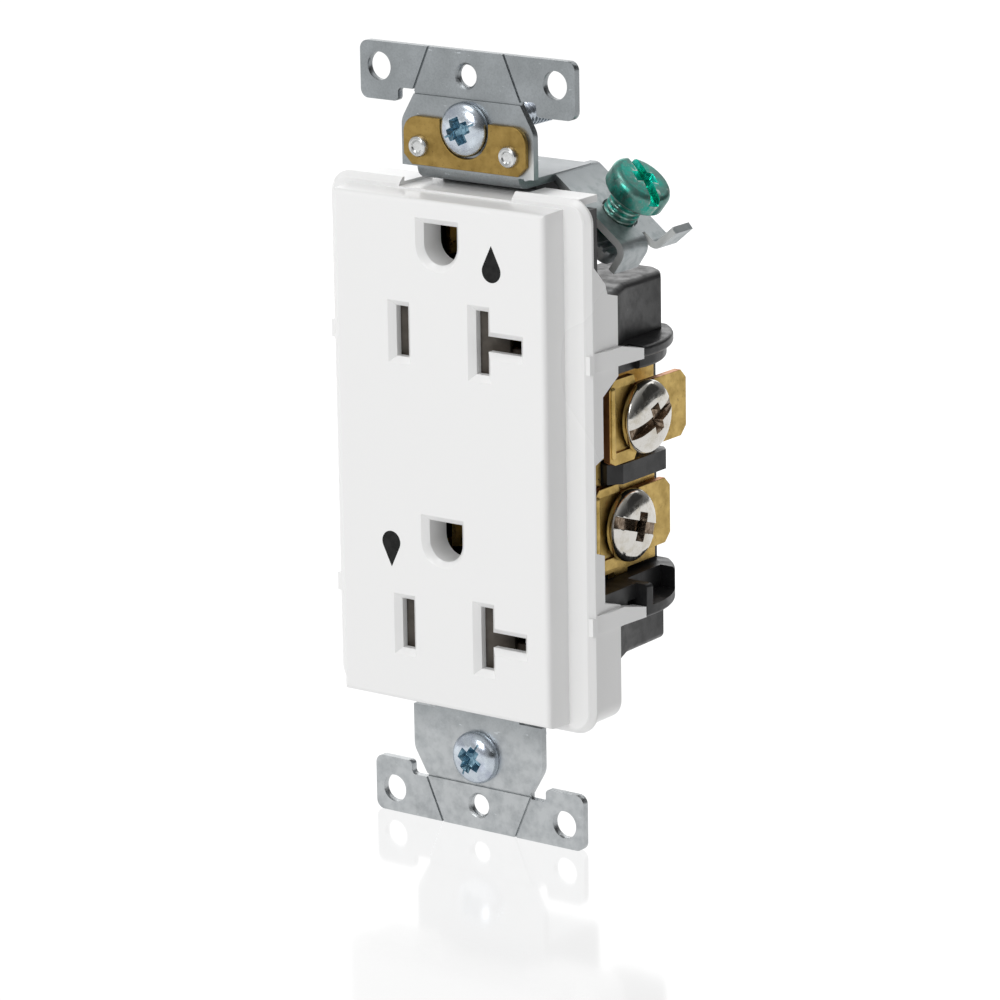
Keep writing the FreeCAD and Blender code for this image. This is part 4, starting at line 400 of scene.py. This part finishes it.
def clamp_brass():
    """Brass on the broad faces and copper where the plate was sheared."""
    surface = brass("clamp_brass", (0.66, 0.47, 0.16), (0.48, 0.33, 0.10), 0.3)
    cut_edge = surface.math("SUBTRACT", 1.0, surface.facing("X", 0.55, 0.8))
    surface.colour(cut_edge, (0.55, 0.24, 0.09))
    return surface.material


def plated(name, colour, tint, rough):
    """Bright plating with a little tarnish in patches."""
    surface = Surface(name, colour, rough, 1.0)
    surface.colour(surface.patches(1.6 * MM, 0.45, 0.68, 0.8), tint)
    surface.colour(surface.patches(0.3 * MM, 0.66, 0.74, 0.6), (0.2, 0.19, 0.18))
    surface.blend("Roughness", surface.patches(0.6 * MM, 0.4, 0.7), rough + 0.14)
    surface.bump(surface.noise(0.25 * MM), 0.004 * MM)
    return surface.material


def ground_green():
    """Green passivated steel, worn to a greenish grey on its outside."""
    surface = Surface("ground_green", (0.10, 0.24, 0.21), 0.3, 0.85)
    surface.colour(surface.patches(1.7 * MM, 0.44, 0.6, detail=3), (0.02, 0.33, 0.26))
    rubbed = surface.spread(surface.noise(0.7 * MM), 0.35, 0.6, 0.3, 1.0)
    surface.colour(surface.both(surface.edges(0.515, 0.565), rubbed), (0.5, 0.56, 0.52))
    surface.colour(surface.patches(0.3 * MM, 0.58, 0.7, 0.5), (0.32, 0.42, 0.38))
    surface.blend("Roughness", surface.patches(0.5 * MM, 0.4, 0.65), 0.42)
    surface.bump(surface.noise(0.3 * MM), 0.008 * MM)
    return surface.material


def recess(name, colour, shade, rough):
    """The inside of a screw's slot: the plating's own colour, unworn in the green slot, and painted darker as
    painted shade in the zinc, nickel and brass slots.
    """
    surface = Surface(name, colour, rough, 0.9)
    surface.colour(surface.patches(0.5 * MM, 0.4, 0.62), shade)
    surface.blend("Roughness", surface.patches(0.5 * MM, 0.4, 0.65), rough + 0.15)
    surface.bump(surface.noise(0.4 * MM, detail=2), 0.006 * MM)
    return surface.material


def moulded(name, colour, shade, rough):
    """Dull plastic or fibre with a fine grain."""
    surface = Surface(name, colour, rough)
    surface.colour(surface.patches(1.5 * MM, 0.4, 0.65), shade)
    surface.blend("Roughness", surface.patches(0.8 * MM, 0.4, 0.65), rough + 0.15)
    surface.bump(surface.noise(0.3 * MM), 0.01 * MM)
    return surface.material


def materials():
    """One material for each of the record's material slots."""
    return {
        "face_white": face_white(),
        "body_black": body_black(),
        "strap_steel": strap_steel(),
        "rivet_steel": plated("rivet_steel", (0.66, 0.67, 0.67), (0.5, 0.51, 0.5), 0.2),
        "clip_brass": brass("clip_brass", (0.40, 0.27, 0.085), (0.29, 0.19, 0.055), 0.36).material,
        "ground_green": ground_green(),
        "screw_zinc": plated("screw_zinc", (0.60, 0.66, 0.72), (0.42, 0.46, 0.55), 0.2),
        "fibre_black": moulded("fibre_black", (0.03, 0.03, 0.03), (0.05, 0.05, 0.05), 0.6),
        "tray_grey": moulded("tray_grey", (0.055, 0.04, 0.028), (0.035, 0.025, 0.018), 0.5),
        "shutter_tan": moulded("shutter_tan", (0.10, 0.085, 0.07), (0.07, 0.06, 0.048), 0.45),
        "spring_steel": plated("spring_steel", (0.6, 0.6, 0.6), (0.5, 0.5, 0.5), 0.25),
        "contact_brass": brass("contact_brass", (0.66, 0.46, 0.16), (0.5, 0.34, 0.1), 0.26).material,
        "clamp_brass": clamp_brass(),
        "screw_nickel": plated("screw_nickel", (0.72, 0.70, 0.66), (0.58, 0.54, 0.46), 0.1),
        "screw_brass": plated("screw_brass", (0.74, 0.56, 0.24), (0.6, 0.42, 0.14), 0.14),
    }


def recesses():
    """The colour inside the screws' slots, painted darker as painted shade except in the green slot, for each
    material slot of a screw.
    """
    return {
        "ground_green": recess("recess_green", (0.02, 0.70, 0.54), (0.0, 0.42, 0.32), 0.16),
        # Painted shade: the zinc slot keeps its blue plating but darker, and the nickel and brass slots are
        # painted dark brown.
        "screw_zinc": recess("recess_zinc", (0.26, 0.42, 0.52), (0.10, 0.20, 0.27), 0.16),
        "screw_nickel": recess("recess_nickel", (0.36, 0.28, 0.21), (0.17, 0.12, 0.08), 0.2),
        "screw_brass": recess("recess_brass", (0.30, 0.19, 0.07), (0.12, 0.07, 0.03), 0.25),
    }


# ---------------------------------------------------------------------------
# Mesh helpers
# ---------------------------------------------------------------------------
SMOOTH_DEGREES = 35


def finish_mesh(name, shape, smooth_degrees=SMOOTH_DEGREES):
    """Turns a bmesh into a linked object, smooth except at edges sharper than an angle."""
    data = bpy.data.meshes.new(name)
    shape.normal_update()
    for face in shape.faces:
        face.smooth = smooth_degrees > 0
    for edge in shape.edges:
        edge.smooth = edge.is_manifold and edge.calc_face_angle(0.0) < math.radians(smooth_degrees)
    shape.to_mesh(data)
    shape.free()
    item = bpy.data.objects.new(name, data)
    bpy.context.collection.objects.link(item)
    return item


def lathe(name, profile, segments=96):
    """A closed solid turned about Z from (radius, height) points; the first and last lie on the axis."""
    shape = bmesh.new()
    rings = []
    for radius, height in profile:
        if radius == 0:
            rings.append([shape.verts.new((0, 0, height))])
            continue
        turn = [2 * math.pi * index / segments for index in range(segments)]
        rings.append([shape.verts.new((radius * math.cos(a), radius * math.sin(a), height)) for a in turn])
    for low, high in zip(rings, rings[1:]):
        for index in range(segments):
            following = (index + 1) % segments
            corners = []
            for ring, number in ((low, index), (low, following), (high, following), (high, index)):
                corner = ring[number % len(ring)]
                if corner not in corners:
                    corners.append(corner)
            if len(corners) > 2:
                shape.faces.new(corners)
    bmesh.ops.recalc_face_normals(shape, faces=shape.faces)
    return finish_mesh(name, shape)


def prism(name, outline, low, high):
    """A straight solid over an outline in XY."""
    shape = bmesh.new()
    floor = [shape.verts.new((x, y, low)) for x, y in outline]
    roof = [shape.verts.new((x, y, high)) for x, y in outline]
    shape.faces.new(floor[::-1])
    shape.faces.new(roof)
    for index in range(len(outline)):
        following = (index + 1) % len(outline)
        shape.faces.new((floor[index], floor[following], roof[following], roof[index]))
    bmesh.ops.recalc_face_normals(shape, faces=shape.faces)
    return finish_mesh(name, shape)


def wedge(name, half_long, half_wide, low, high, flare):
    """A bar for cutting a recess, wider at its top by the flare on each side."""
    shape = bmesh.new()
    corners = {}
    for height, more in ((low, 0.0), (high, flare)):
        for along, across in ((-1, -1), (1, -1), (1, 1), (-1, 1)):
            spot = (along * (half_long + more), across * (half_wide + more), height)
            corners[height, along, across] = shape.verts.new(spot)
    order = ((-1, -1), (1, -1), (1, 1), (-1, 1))
    shape.faces.new([corners[low, *key] for key in order[::-1]])
    shape.faces.new([corners[high, *key] for key in order])
    for first, second in zip(order, order[1:] + order[:1]):
        bottom = [corners[low, *first], corners[low, *second]]
        top = [corners[high, *second], corners[high, *first]]
        shape.faces.new(bottom + top)
    bmesh.ops.recalc_face_normals(shape, faces=shape.faces)
    return finish_mesh(name, shape)


def bake(item):
    """Applies an object's modifiers to its mesh."""
    graph = bpy.context.evaluated_depsgraph_get()
    graph.update()
    data = bpy.data.meshes.new_from_object(item.evaluated_get(graph))
    item.modifiers.clear()
    item.data = data
    return item


def cut(item, tools):
    """Cuts the tools out of an item; the cut faces get the tools' material."""
    for tool in tools:
        step = item.modifiers.new("boolean", "BOOLEAN")
        step.operation = "DIFFERENCE"
        step.solver = "EXACT"
        step.material_mode = "TRANSFER"
        step.object = tool
    bake(item)
    for tool in tools:
        bpy.data.objects.remove(tool)


def bevelled(item, width, degrees):
    """Rounds the sharp edges and keeps the flats flat."""
    step = item.modifiers.new("bevel", "BEVEL")
    step.width = width
    step.segments = 2
    step.limit_method = "ANGLE"
    step.angle_limit = math.radians(degrees)
    step.harden_normals = True
    return item


def joined(name, items):
    """Several meshes as one object."""
    shape = bmesh.new()
    for item in items:
        data = item.data
        data.transform(item.matrix_basis)
        shape.from_mesh(data)
    for item in items:
        bpy.data.objects.remove(item)
    return finish_mesh(name, shape)


def stand(item, place, axis, turn=0.0):
    """Moves a piece made along +Z so that it looks along an axis from a place."""
    look = Vector(axis).to_track_quat("Z", "Y").to_matrix().to_4x4()
    item.data.transform(Matrix.Translation(place) @ look @ Matrix.Rotation(turn, 4, "Z"))
    item.data.update()
    return item


# ---------------------------------------------------------------------------
# Screws
# ---------------------------------------------------------------------------
THREAD_PITCH = 0.794 * MM
THREAD_DEPTH = 0.45 * THREAD_PITCH
THREAD_FLANK = 1.35
STEPS_PER_TURN = 8


def threaded(name, radius, length, segments=40):
    """A threaded shank that hangs down -Z from the origin, with a plain crest and a tapered end."""
    shape = bmesh.new()
    rows = int(length / THREAD_PITCH * STEPS_PER_TURN)
    rings = []
    for row in range(rows + 1):
        height = -length * row / rows
        full = min(1.0, (length + height) / THREAD_PITCH)
        ring = []
        for index in range(segments):
            share = index / segments
            phase = (height / THREAD_PITCH - share) % 1.0
            crest = min(1.0, (1.0 - abs(2 * phase - 1.0)) * THREAD_FLANK)
            reach = radius - THREAD_DEPTH * (2.0 - crest - full)
            angle = 2 * math.pi * share
            ring.append(shape.verts.new((reach * math.cos(angle), reach * math.sin(angle), height)))
        rings.append(ring)
    for low, high in zip(rings, rings[1:]):
        for index in range(segments):
            following = (index + 1) % segments
            shape.faces.new((low[index], high[index], high[following], low[following]))
    shape.faces.new(rings[0])
    shape.faces.new(rings[-1][::-1])
    bmesh.ops.recalc_face_normals(shape, faces=shape.faces)
    return finish_mesh(name, shape, smooth_degrees=60)


DOME_STEPS = 14
DOME_FULLNESS = 0.75


def dome_profile(radius, rise, rim):
    """A head's half section: flat underside, rounded rim and a low dome."""
    points = [(0, 0), (radius - rim * 0.5, 0), (radius - rim * 0.12, rim * 0.12), (radius, rim * 0.45)]
    for step in range(DOME_STEPS):
        angle = math.pi / 2 * step / DOME_STEPS
        points.append((radius * math.cos(angle) ** DOME_FULLNESS, rim + (rise - rim) * math.sin(angle)))
    points.append((0, rise))
    return points


PAN_FOOT = 0.35 * MM
PAN_CROWN = 0.25 * MM
PAN_SHOULDER_STEPS = 8
PAN_CROWN_STEPS = 14


def pan_profile(radius, rise, edge):
    """A head's half section: a straight side, a rounded shoulder and a slightly crowned top."""
    points = [(0, 0), (radius - PAN_FOOT, 0), (radius, PAN_FOOT)]
    top = radius - edge
    for step in range(PAN_SHOULDER_STEPS + 1):
        angle = math.pi / 2 * step / PAN_SHOULDER_STEPS
        points.append((top + edge * math.cos(angle), rise - PAN_CROWN - edge + edge * math.sin(angle)))
    for step in range(1, PAN_CROWN_STEPS):
        share = 1.0 - step / PAN_CROWN_STEPS
        points.append((top * share, rise - PAN_CROWN * share ** 2))
    points.append((0, rise))
    return points


HEAD_EDGE = 0.08 * MM
OVERCUT = 1 * MM


def head(name, slot_name, profile, drive):
    """A lathed head cut by its drive: bars given as half length, half width, depth and flare."""
    item = lathe(name, profile)
    item.data.materials.append(MATERIALS[slot_name])
    rise = profile[-1][1]
    tools = []
    for index, (half_long, half_wide, deep, flare) in enumerate(drive):
        grow = flare * (deep + OVERCUT) / deep
        tool = wedge(f"drive_tool_{index}", half_long, half_wide, rise - deep, rise + OVERCUT, grow)
        tool.data.materials.append(RECESSES[slot_name])
        tools.append(tool)
    cut(item, tools)
    return bake(bevelled(item, HEAD_EDGE, degrees=40))


def screw(node, slot_name, place, axis, turn, profile, drive, shank, length):
    """A screw whose head stands on a place and looks along an axis, turned by some degrees."""
    top = head(f"{node}_head", slot_name, profile, drive)
    stem = threaded(f"{node}_stem", shank, length)
    item = joined(f"{node}_detailed", [top, stem])
    stand(item, place, axis, math.radians(turn))
    dress_piece(item, slot_name, node)
    item.data.materials.append(RECESSES[slot_name])


def slot_drive(radius, half_wide, deep):
    """A full slot with the short arms and deeper middle of a combination drive."""
    return (
        (radius * 1.2, half_wide, deep, 0.0),
        (half_wide * 0.8, radius * 0.34, deep * 1.15, 0.3 * MM),
    )


def cross_drive(radius, half_wide, deep):
    """A wide cross with a shallow slot through it."""
    arm = radius * 0.4
    flare = 0.4 * MM
    return (
        (radius * 0.8, half_wide * 0.3, deep * 0.3, 0.0),
        (half_wide, arm, deep, flare),
        (arm, half_wide, deep, flare),
    )


MOUNTING_TURNS = {"upper": 25, "lower": 60}
MOUNTING_RISE = 2.1 * MM
MOUNTING_RIM = 0.5 * MM
MOUNTING_SHANK = 1.7 * MM
MOUNTING_SLOT = (0.42 * MM, 1.3 * MM)


def mounting_screws():
    for level, turn in MOUNTING_TURNS.items():
        node = f"{level}_mounting_screw"
        low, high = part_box(node)
        centre = Vector(((low[0] + high[0]) / 2, low[1] + MOUNTING_RISE, (low[2] + high[2]) / 2))
        radius = (high[0] - low[0]) / 2
        profile = dome_profile(radius, MOUNTING_RISE, MOUNTING_RIM)
        drive = cross_drive(radius, *MOUNTING_SLOT)
        length = high[1] - centre.y
        screw(node, "screw_zinc", centre, (0, -1, 0), turn, profile, drive, MOUNTING_SHANK, length)


SIDES = (("neutral", 1), ("hot", -1))
TERMINAL_FINISHES = {"neutral": "screw_nickel", "hot": "screw_brass"}
TERMINAL_TURNS = {"upper": 20, "lower": 162}
TERMINAL_RISE = 2.4 * MM
TERMINAL_RIM = 0.7 * MM
TERMINAL_SHANK = 2.35 * MM
TERMINAL_SLOT = (0.75 * MM, 1.3 * MM)


def terminal_screws():
    for side, sign in SIDES:
        for level, turn in TERMINAL_TURNS.items():
            node = f"{side}_{level}_screw"
            low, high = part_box(node)
            head_top = high[0] if sign > 0 else low[0]
            tip = low[0] if sign > 0 else high[0]
            place = Vector((head_top - sign * TERMINAL_RISE, (low[1] + high[1]) / 2, (low[2] + high[2]) / 2))
            radius = (high[1] - low[1]) / 2
            profile = dome_profile(radius, TERMINAL_RISE, TERMINAL_RIM)
            drive = slot_drive(radius, *TERMINAL_SLOT)
            length = abs(place.x - tip)
            finish = TERMINAL_FINISHES[side]
            screw(node, finish, place, (sign, 0, 0), turn, profile, drive, TERMINAL_SHANK, length)


GROUND_RADIUS = 4.2 * MM
GROUND_RISE = 3.2 * MM
GROUND_EDGE = 1.0 * MM
GROUND_SLOT = (0.75 * MM, 1.3 * MM)
GROUND_LENGTH = 9.7 * MM
GROUND_TURN = 68
# How far the head stands off the plate that the screw is in.
GROUND_STAND = 3.3 * MM


def ground_screw():
    joint = JOINTS["ground_screw_turn"]
    axis = Vector(joint["axis"])
    place = Vector(joint["pos_m"]) + axis * GROUND_STAND
    profile = pan_profile(GROUND_RADIUS, GROUND_RISE, GROUND_EDGE)
    drive = slot_drive(GROUND_RADIUS, *GROUND_SLOT)
    screw(
        "ground_screw", "ground_green", place, axis, GROUND_TURN, profile, drive,
        TERMINAL_SHANK, GROUND_LENGTH,
    )


# ---------------------------------------------------------------------------
# Rivets, ridges, springs and marks
# ---------------------------------------------------------------------------
def rivet_profile(radius, tall):
    """A rivet head's half section: a bevelled side, a rounded lip and a shallow dish."""
    side = (radius, tall - 0.35 * MM)
    shoulder = (radius - 0.15 * MM, tall - 0.1 * MM)
    lip = (radius - 0.4 * MM, tall)
    brim = (radius - 0.6 * MM, tall - 0.05 * MM)
    dish = (radius - 0.75 * MM, tall - 0.25 * MM)
    return [(0, 0), (radius, 0), side, shoulder, lip, brim, dish, (0, tall - 0.3 * MM)]


def clip_rivets():
    """The grounding clip's two rivets, one at each end of their node."""
    low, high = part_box("clip_rivets")
    radius = (high[2] - low[2]) / 2
    profile = rivet_profile(radius, high[1] - low[1])
    rivets = []
    for index, across in enumerate((low[0] + radius, high[0] - radius)):
        rivet = lathe(f"rivet_{index}", profile, 48)
        rivets.append(stand(rivet, Vector((across, high[1], (low[2] + high[2]) / 2)), (0, -1, 0)))
    dress_piece(joined("clip_rivets_detailed", rivets), "rivet_steel", "clip_rivets")


RIDGE_RADIUS = 0.45 * MM
RIDGE_FLATNESS = 0.7
RIDGE_END_GAP = 1.3 * MM
RIDGE_SETBACK = 0.75 * MM
RIDGE_STEPS = 8


def capsule_profile(radius, half):
    """The half section of a round bar with round ends, about Z."""
    arc = [math.pi / 2 * step / RIDGE_STEPS for step in range(1, RIDGE_STEPS)]
    points = [(0, -half - radius)]
    points += [(radius * math.sin(a), -half - radius * math.cos(a)) for a in arc]
    points += [(radius, -half), (radius, half)]
    points += [(radius * math.cos(a), half + radius * math.sin(a)) for a in arc]
    points.append((0, half + radius))
    return points


def clamp_ridges():
    """The rounded ridge pressed along the front edge of each clamp plate."""
    for side, sign in SIDES:
        for level in ("upper", "lower"):
            node = f"{side}_{level}_clamp"
            low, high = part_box(node)
            half = (high[2] - low[2]) / 2 - RIDGE_END_GAP
            item = lathe(f"{node}_ridge", capsule_profile(RIDGE_RADIUS, half), 24)
            face = high[0] if sign > 0 else low[0]
            centre = Vector((face, low[1] + RIDGE_SETBACK, (low[2] + high[2]) / 2))
            squeeze = Matrix.Diagonal((RIDGE_FLATNESS, 1.0, 1.0, 1.0))
            item.data.transform(Matrix.Translation(centre) @ squeeze)
            item.data.materials.append(RIDGE_BRASS)
            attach(item, BODY_OF[node])


SPRING_WIRE = 0.3 * MM
SPRING_TURNS = 6
COIL_STEPS_PER_TURN = 32
WIRE_SIDES = 12


def coil(name, radius, wire, start, end, turns):
    """A round wire wound about X from one place to another, closed at both ends."""
    shape = bmesh.new()
    steps = COIL_STEPS_PER_TURN * turns
    rings = []
    rise = (end - start - wire) / (2 * math.pi * turns)
    for step in range(steps + 1):
        angle = 2 * math.pi * turns * step / steps
        outward = Vector((0.0, math.cos(angle), math.sin(angle)))
        forward = Vector((rise, -radius * math.sin(angle), radius * math.cos(angle))).normalized()
        aside = forward.cross(outward)
        centre = outward * radius + Vector((start + wire / 2 + rise * angle, 0.0, 0.0))
        ring = []
        for side in range(WIRE_SIDES):
            turn = 2 * math.pi * side / WIRE_SIDES
            spot = centre + (outward * math.cos(turn) + aside * math.sin(turn)) * wire / 2
            ring.append(shape.verts.new(spot))
        rings.append(ring)
    for low, high in zip(rings, rings[1:]):
        for side in range(WIRE_SIDES):
            following = (side + 1) % WIRE_SIDES
            shape.faces.new((low[side], low[following], high[following], high[side]))
    shape.faces.new(rings[0][::-1])
    shape.faces.new(rings[-1])
    bmesh.ops.recalc_face_normals(shape, faces=shape.faces)
    return finish_mesh(name, shape)


def shutter_springs():
    """Each spring is a wound coil in the place of its CAD node, between the tray's wall and the pocket of its
    shutter.
    """
    for level in ("upper", "lower"):
        node = f"{level}_shutter_spring"
        low, high = (Vector(corner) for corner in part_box(node))
        middle = (low + high) / 2
        radius = (high.z - low.z - SPRING_WIRE) / 2
        item = coil(f"{node}_wound", radius, SPRING_WIRE, low.x, high.x, SPRING_TURNS)
        item.data.transform(Matrix.Translation((0.0, middle.y, middle.z)))
        item.data.materials.append(MATERIALS["spring_steel"])
        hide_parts(node)
        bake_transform(item)


DROP_STEPS = 40


def drop_outline(radius, tip):
    """A water drop: a round foot that narrows to a point above it."""
    lean = math.asin(radius / tip)
    sweep = math.pi + 2 * lean
    points = [(0.0, tip)]
    for step in range(DROP_STEPS + 1):
        angle = lean - sweep * step / DROP_STEPS
        points.append((radius * math.cos(angle), radius * math.sin(angle)))
    return points


# Level, distance to the right of the centre, height and turn of each mark.
DROP_PLACES = (
    ("upper", 8.5 * MM, 25.4 * MM, 0.0),
    ("lower", -8.3 * MM, -12.2 * MM, math.pi),
)
DROP_RADIUS = 1.45 * MM
DROP_TIP = 3.3 * MM
INK_HALF_THICK = 0.02 * MM


def drop_marks():
    """A printed water drop beside each ground hole, the sign for a weather-resistant outlet."""
    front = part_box("face_cover")[0][1]
    outline = drop_outline(DROP_RADIUS, DROP_TIP)
    for level, across, up, turn in DROP_PLACES:
        item = prism(f"{level}_drop_mark", outline, -INK_HALF_THICK, INK_HALF_THICK)
        place = Matrix.Translation((across, front, up))
        item.data.transform(place @ Matrix.Rotation(turn, 4, "Y") @ Matrix.Rotation(math.pi / 2, 4, "X"))
        item.data.materials.append(PRINT_BLACK)
        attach(item, BODY_OF["face_cover"])


# ---------------------------------------------------------------------------
# Dressing: materials, edge rounding and bodies
# ---------------------------------------------------------------------------
def dress_piece(item, slot_name, *nodes):
    """Gives a new piece its material and its body, and hides the CAD nodes that it stands for."""
    item.data.materials.append(MATERIALS[slot_name])
    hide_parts(*nodes)
    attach(item, BODY_OF[nodes[0]])


CLAMPS = [f"{side}_{level}_clamp" for side, _ in SIDES for level in ("upper", "lower")]
EDGE_ROUNDING = {
    "face_cover": 0.18 * MM,
    "rear_body": 0.22 * MM,
    "mounting_strap": 0.14 * MM,
    "grounding_clip": 0.1 * MM,
    "ground_clamp_plate": 0.15 * MM,
    **dict.fromkeys(CLAMPS, 0.14 * MM),
}
SHARP_DEGREES = 32
FLAT_DEGREES = 0.3
WELD_REACH = 0.002 * MM


def round_edges(item, width):
    """Rounds a CAD node's edges after clearing the lines that its flat faces are divided by."""
    flats = item.modifiers.new("flats", "DECIMATE")
    flats.decimate_type = "DISSOLVE"
    flats.angle_limit = math.radians(FLAT_DEGREES)
    bevelled(item, width, SHARP_DEGREES)
    weighted = item.modifiers.new("weighted", "WEIGHTED_NORMAL")
    weighted.keep_sharp = True
    weighted.weight = 100


def dress_nodes():
    """Every CAD node gets its slot's material and, where it shows, rounded edges and smooth shading."""
    slots = {entry["node"]: entry["material_slot"] for entry in frame["record"]["subparts"]}
    for node, item in frame["nodes"].items():
        item.data.materials.clear()
        item.data.materials.append(MATERIALS[slots[node]])
        weld = item.modifiers.new("weld", "WELD")
        weld.merge_threshold = WELD_REACH
        if node in EDGE_ROUNDING:
            round_edges(item, EDGE_ROUNDING[node])
            item.data.shade_smooth()
        else:
            item.data.shade_flat()


MATERIALS = materials()
RECESSES = recesses()
PRINT_BLACK = moulded("print_black", (0.002, 0.002, 0.002), (0.004, 0.004, 0.004), 0.8)
RIDGE_BRASS = brass("ridge_brass", (0.68, 0.49, 0.18), (0.50, 0.35, 0.11), 0.26).material
camera()
studio()
dress_nodes()
mounting_screws()
terminal_screws()
ground_screw()
clip_rivets()
clamp_ridges()
shutter_springs()
drop_marks()
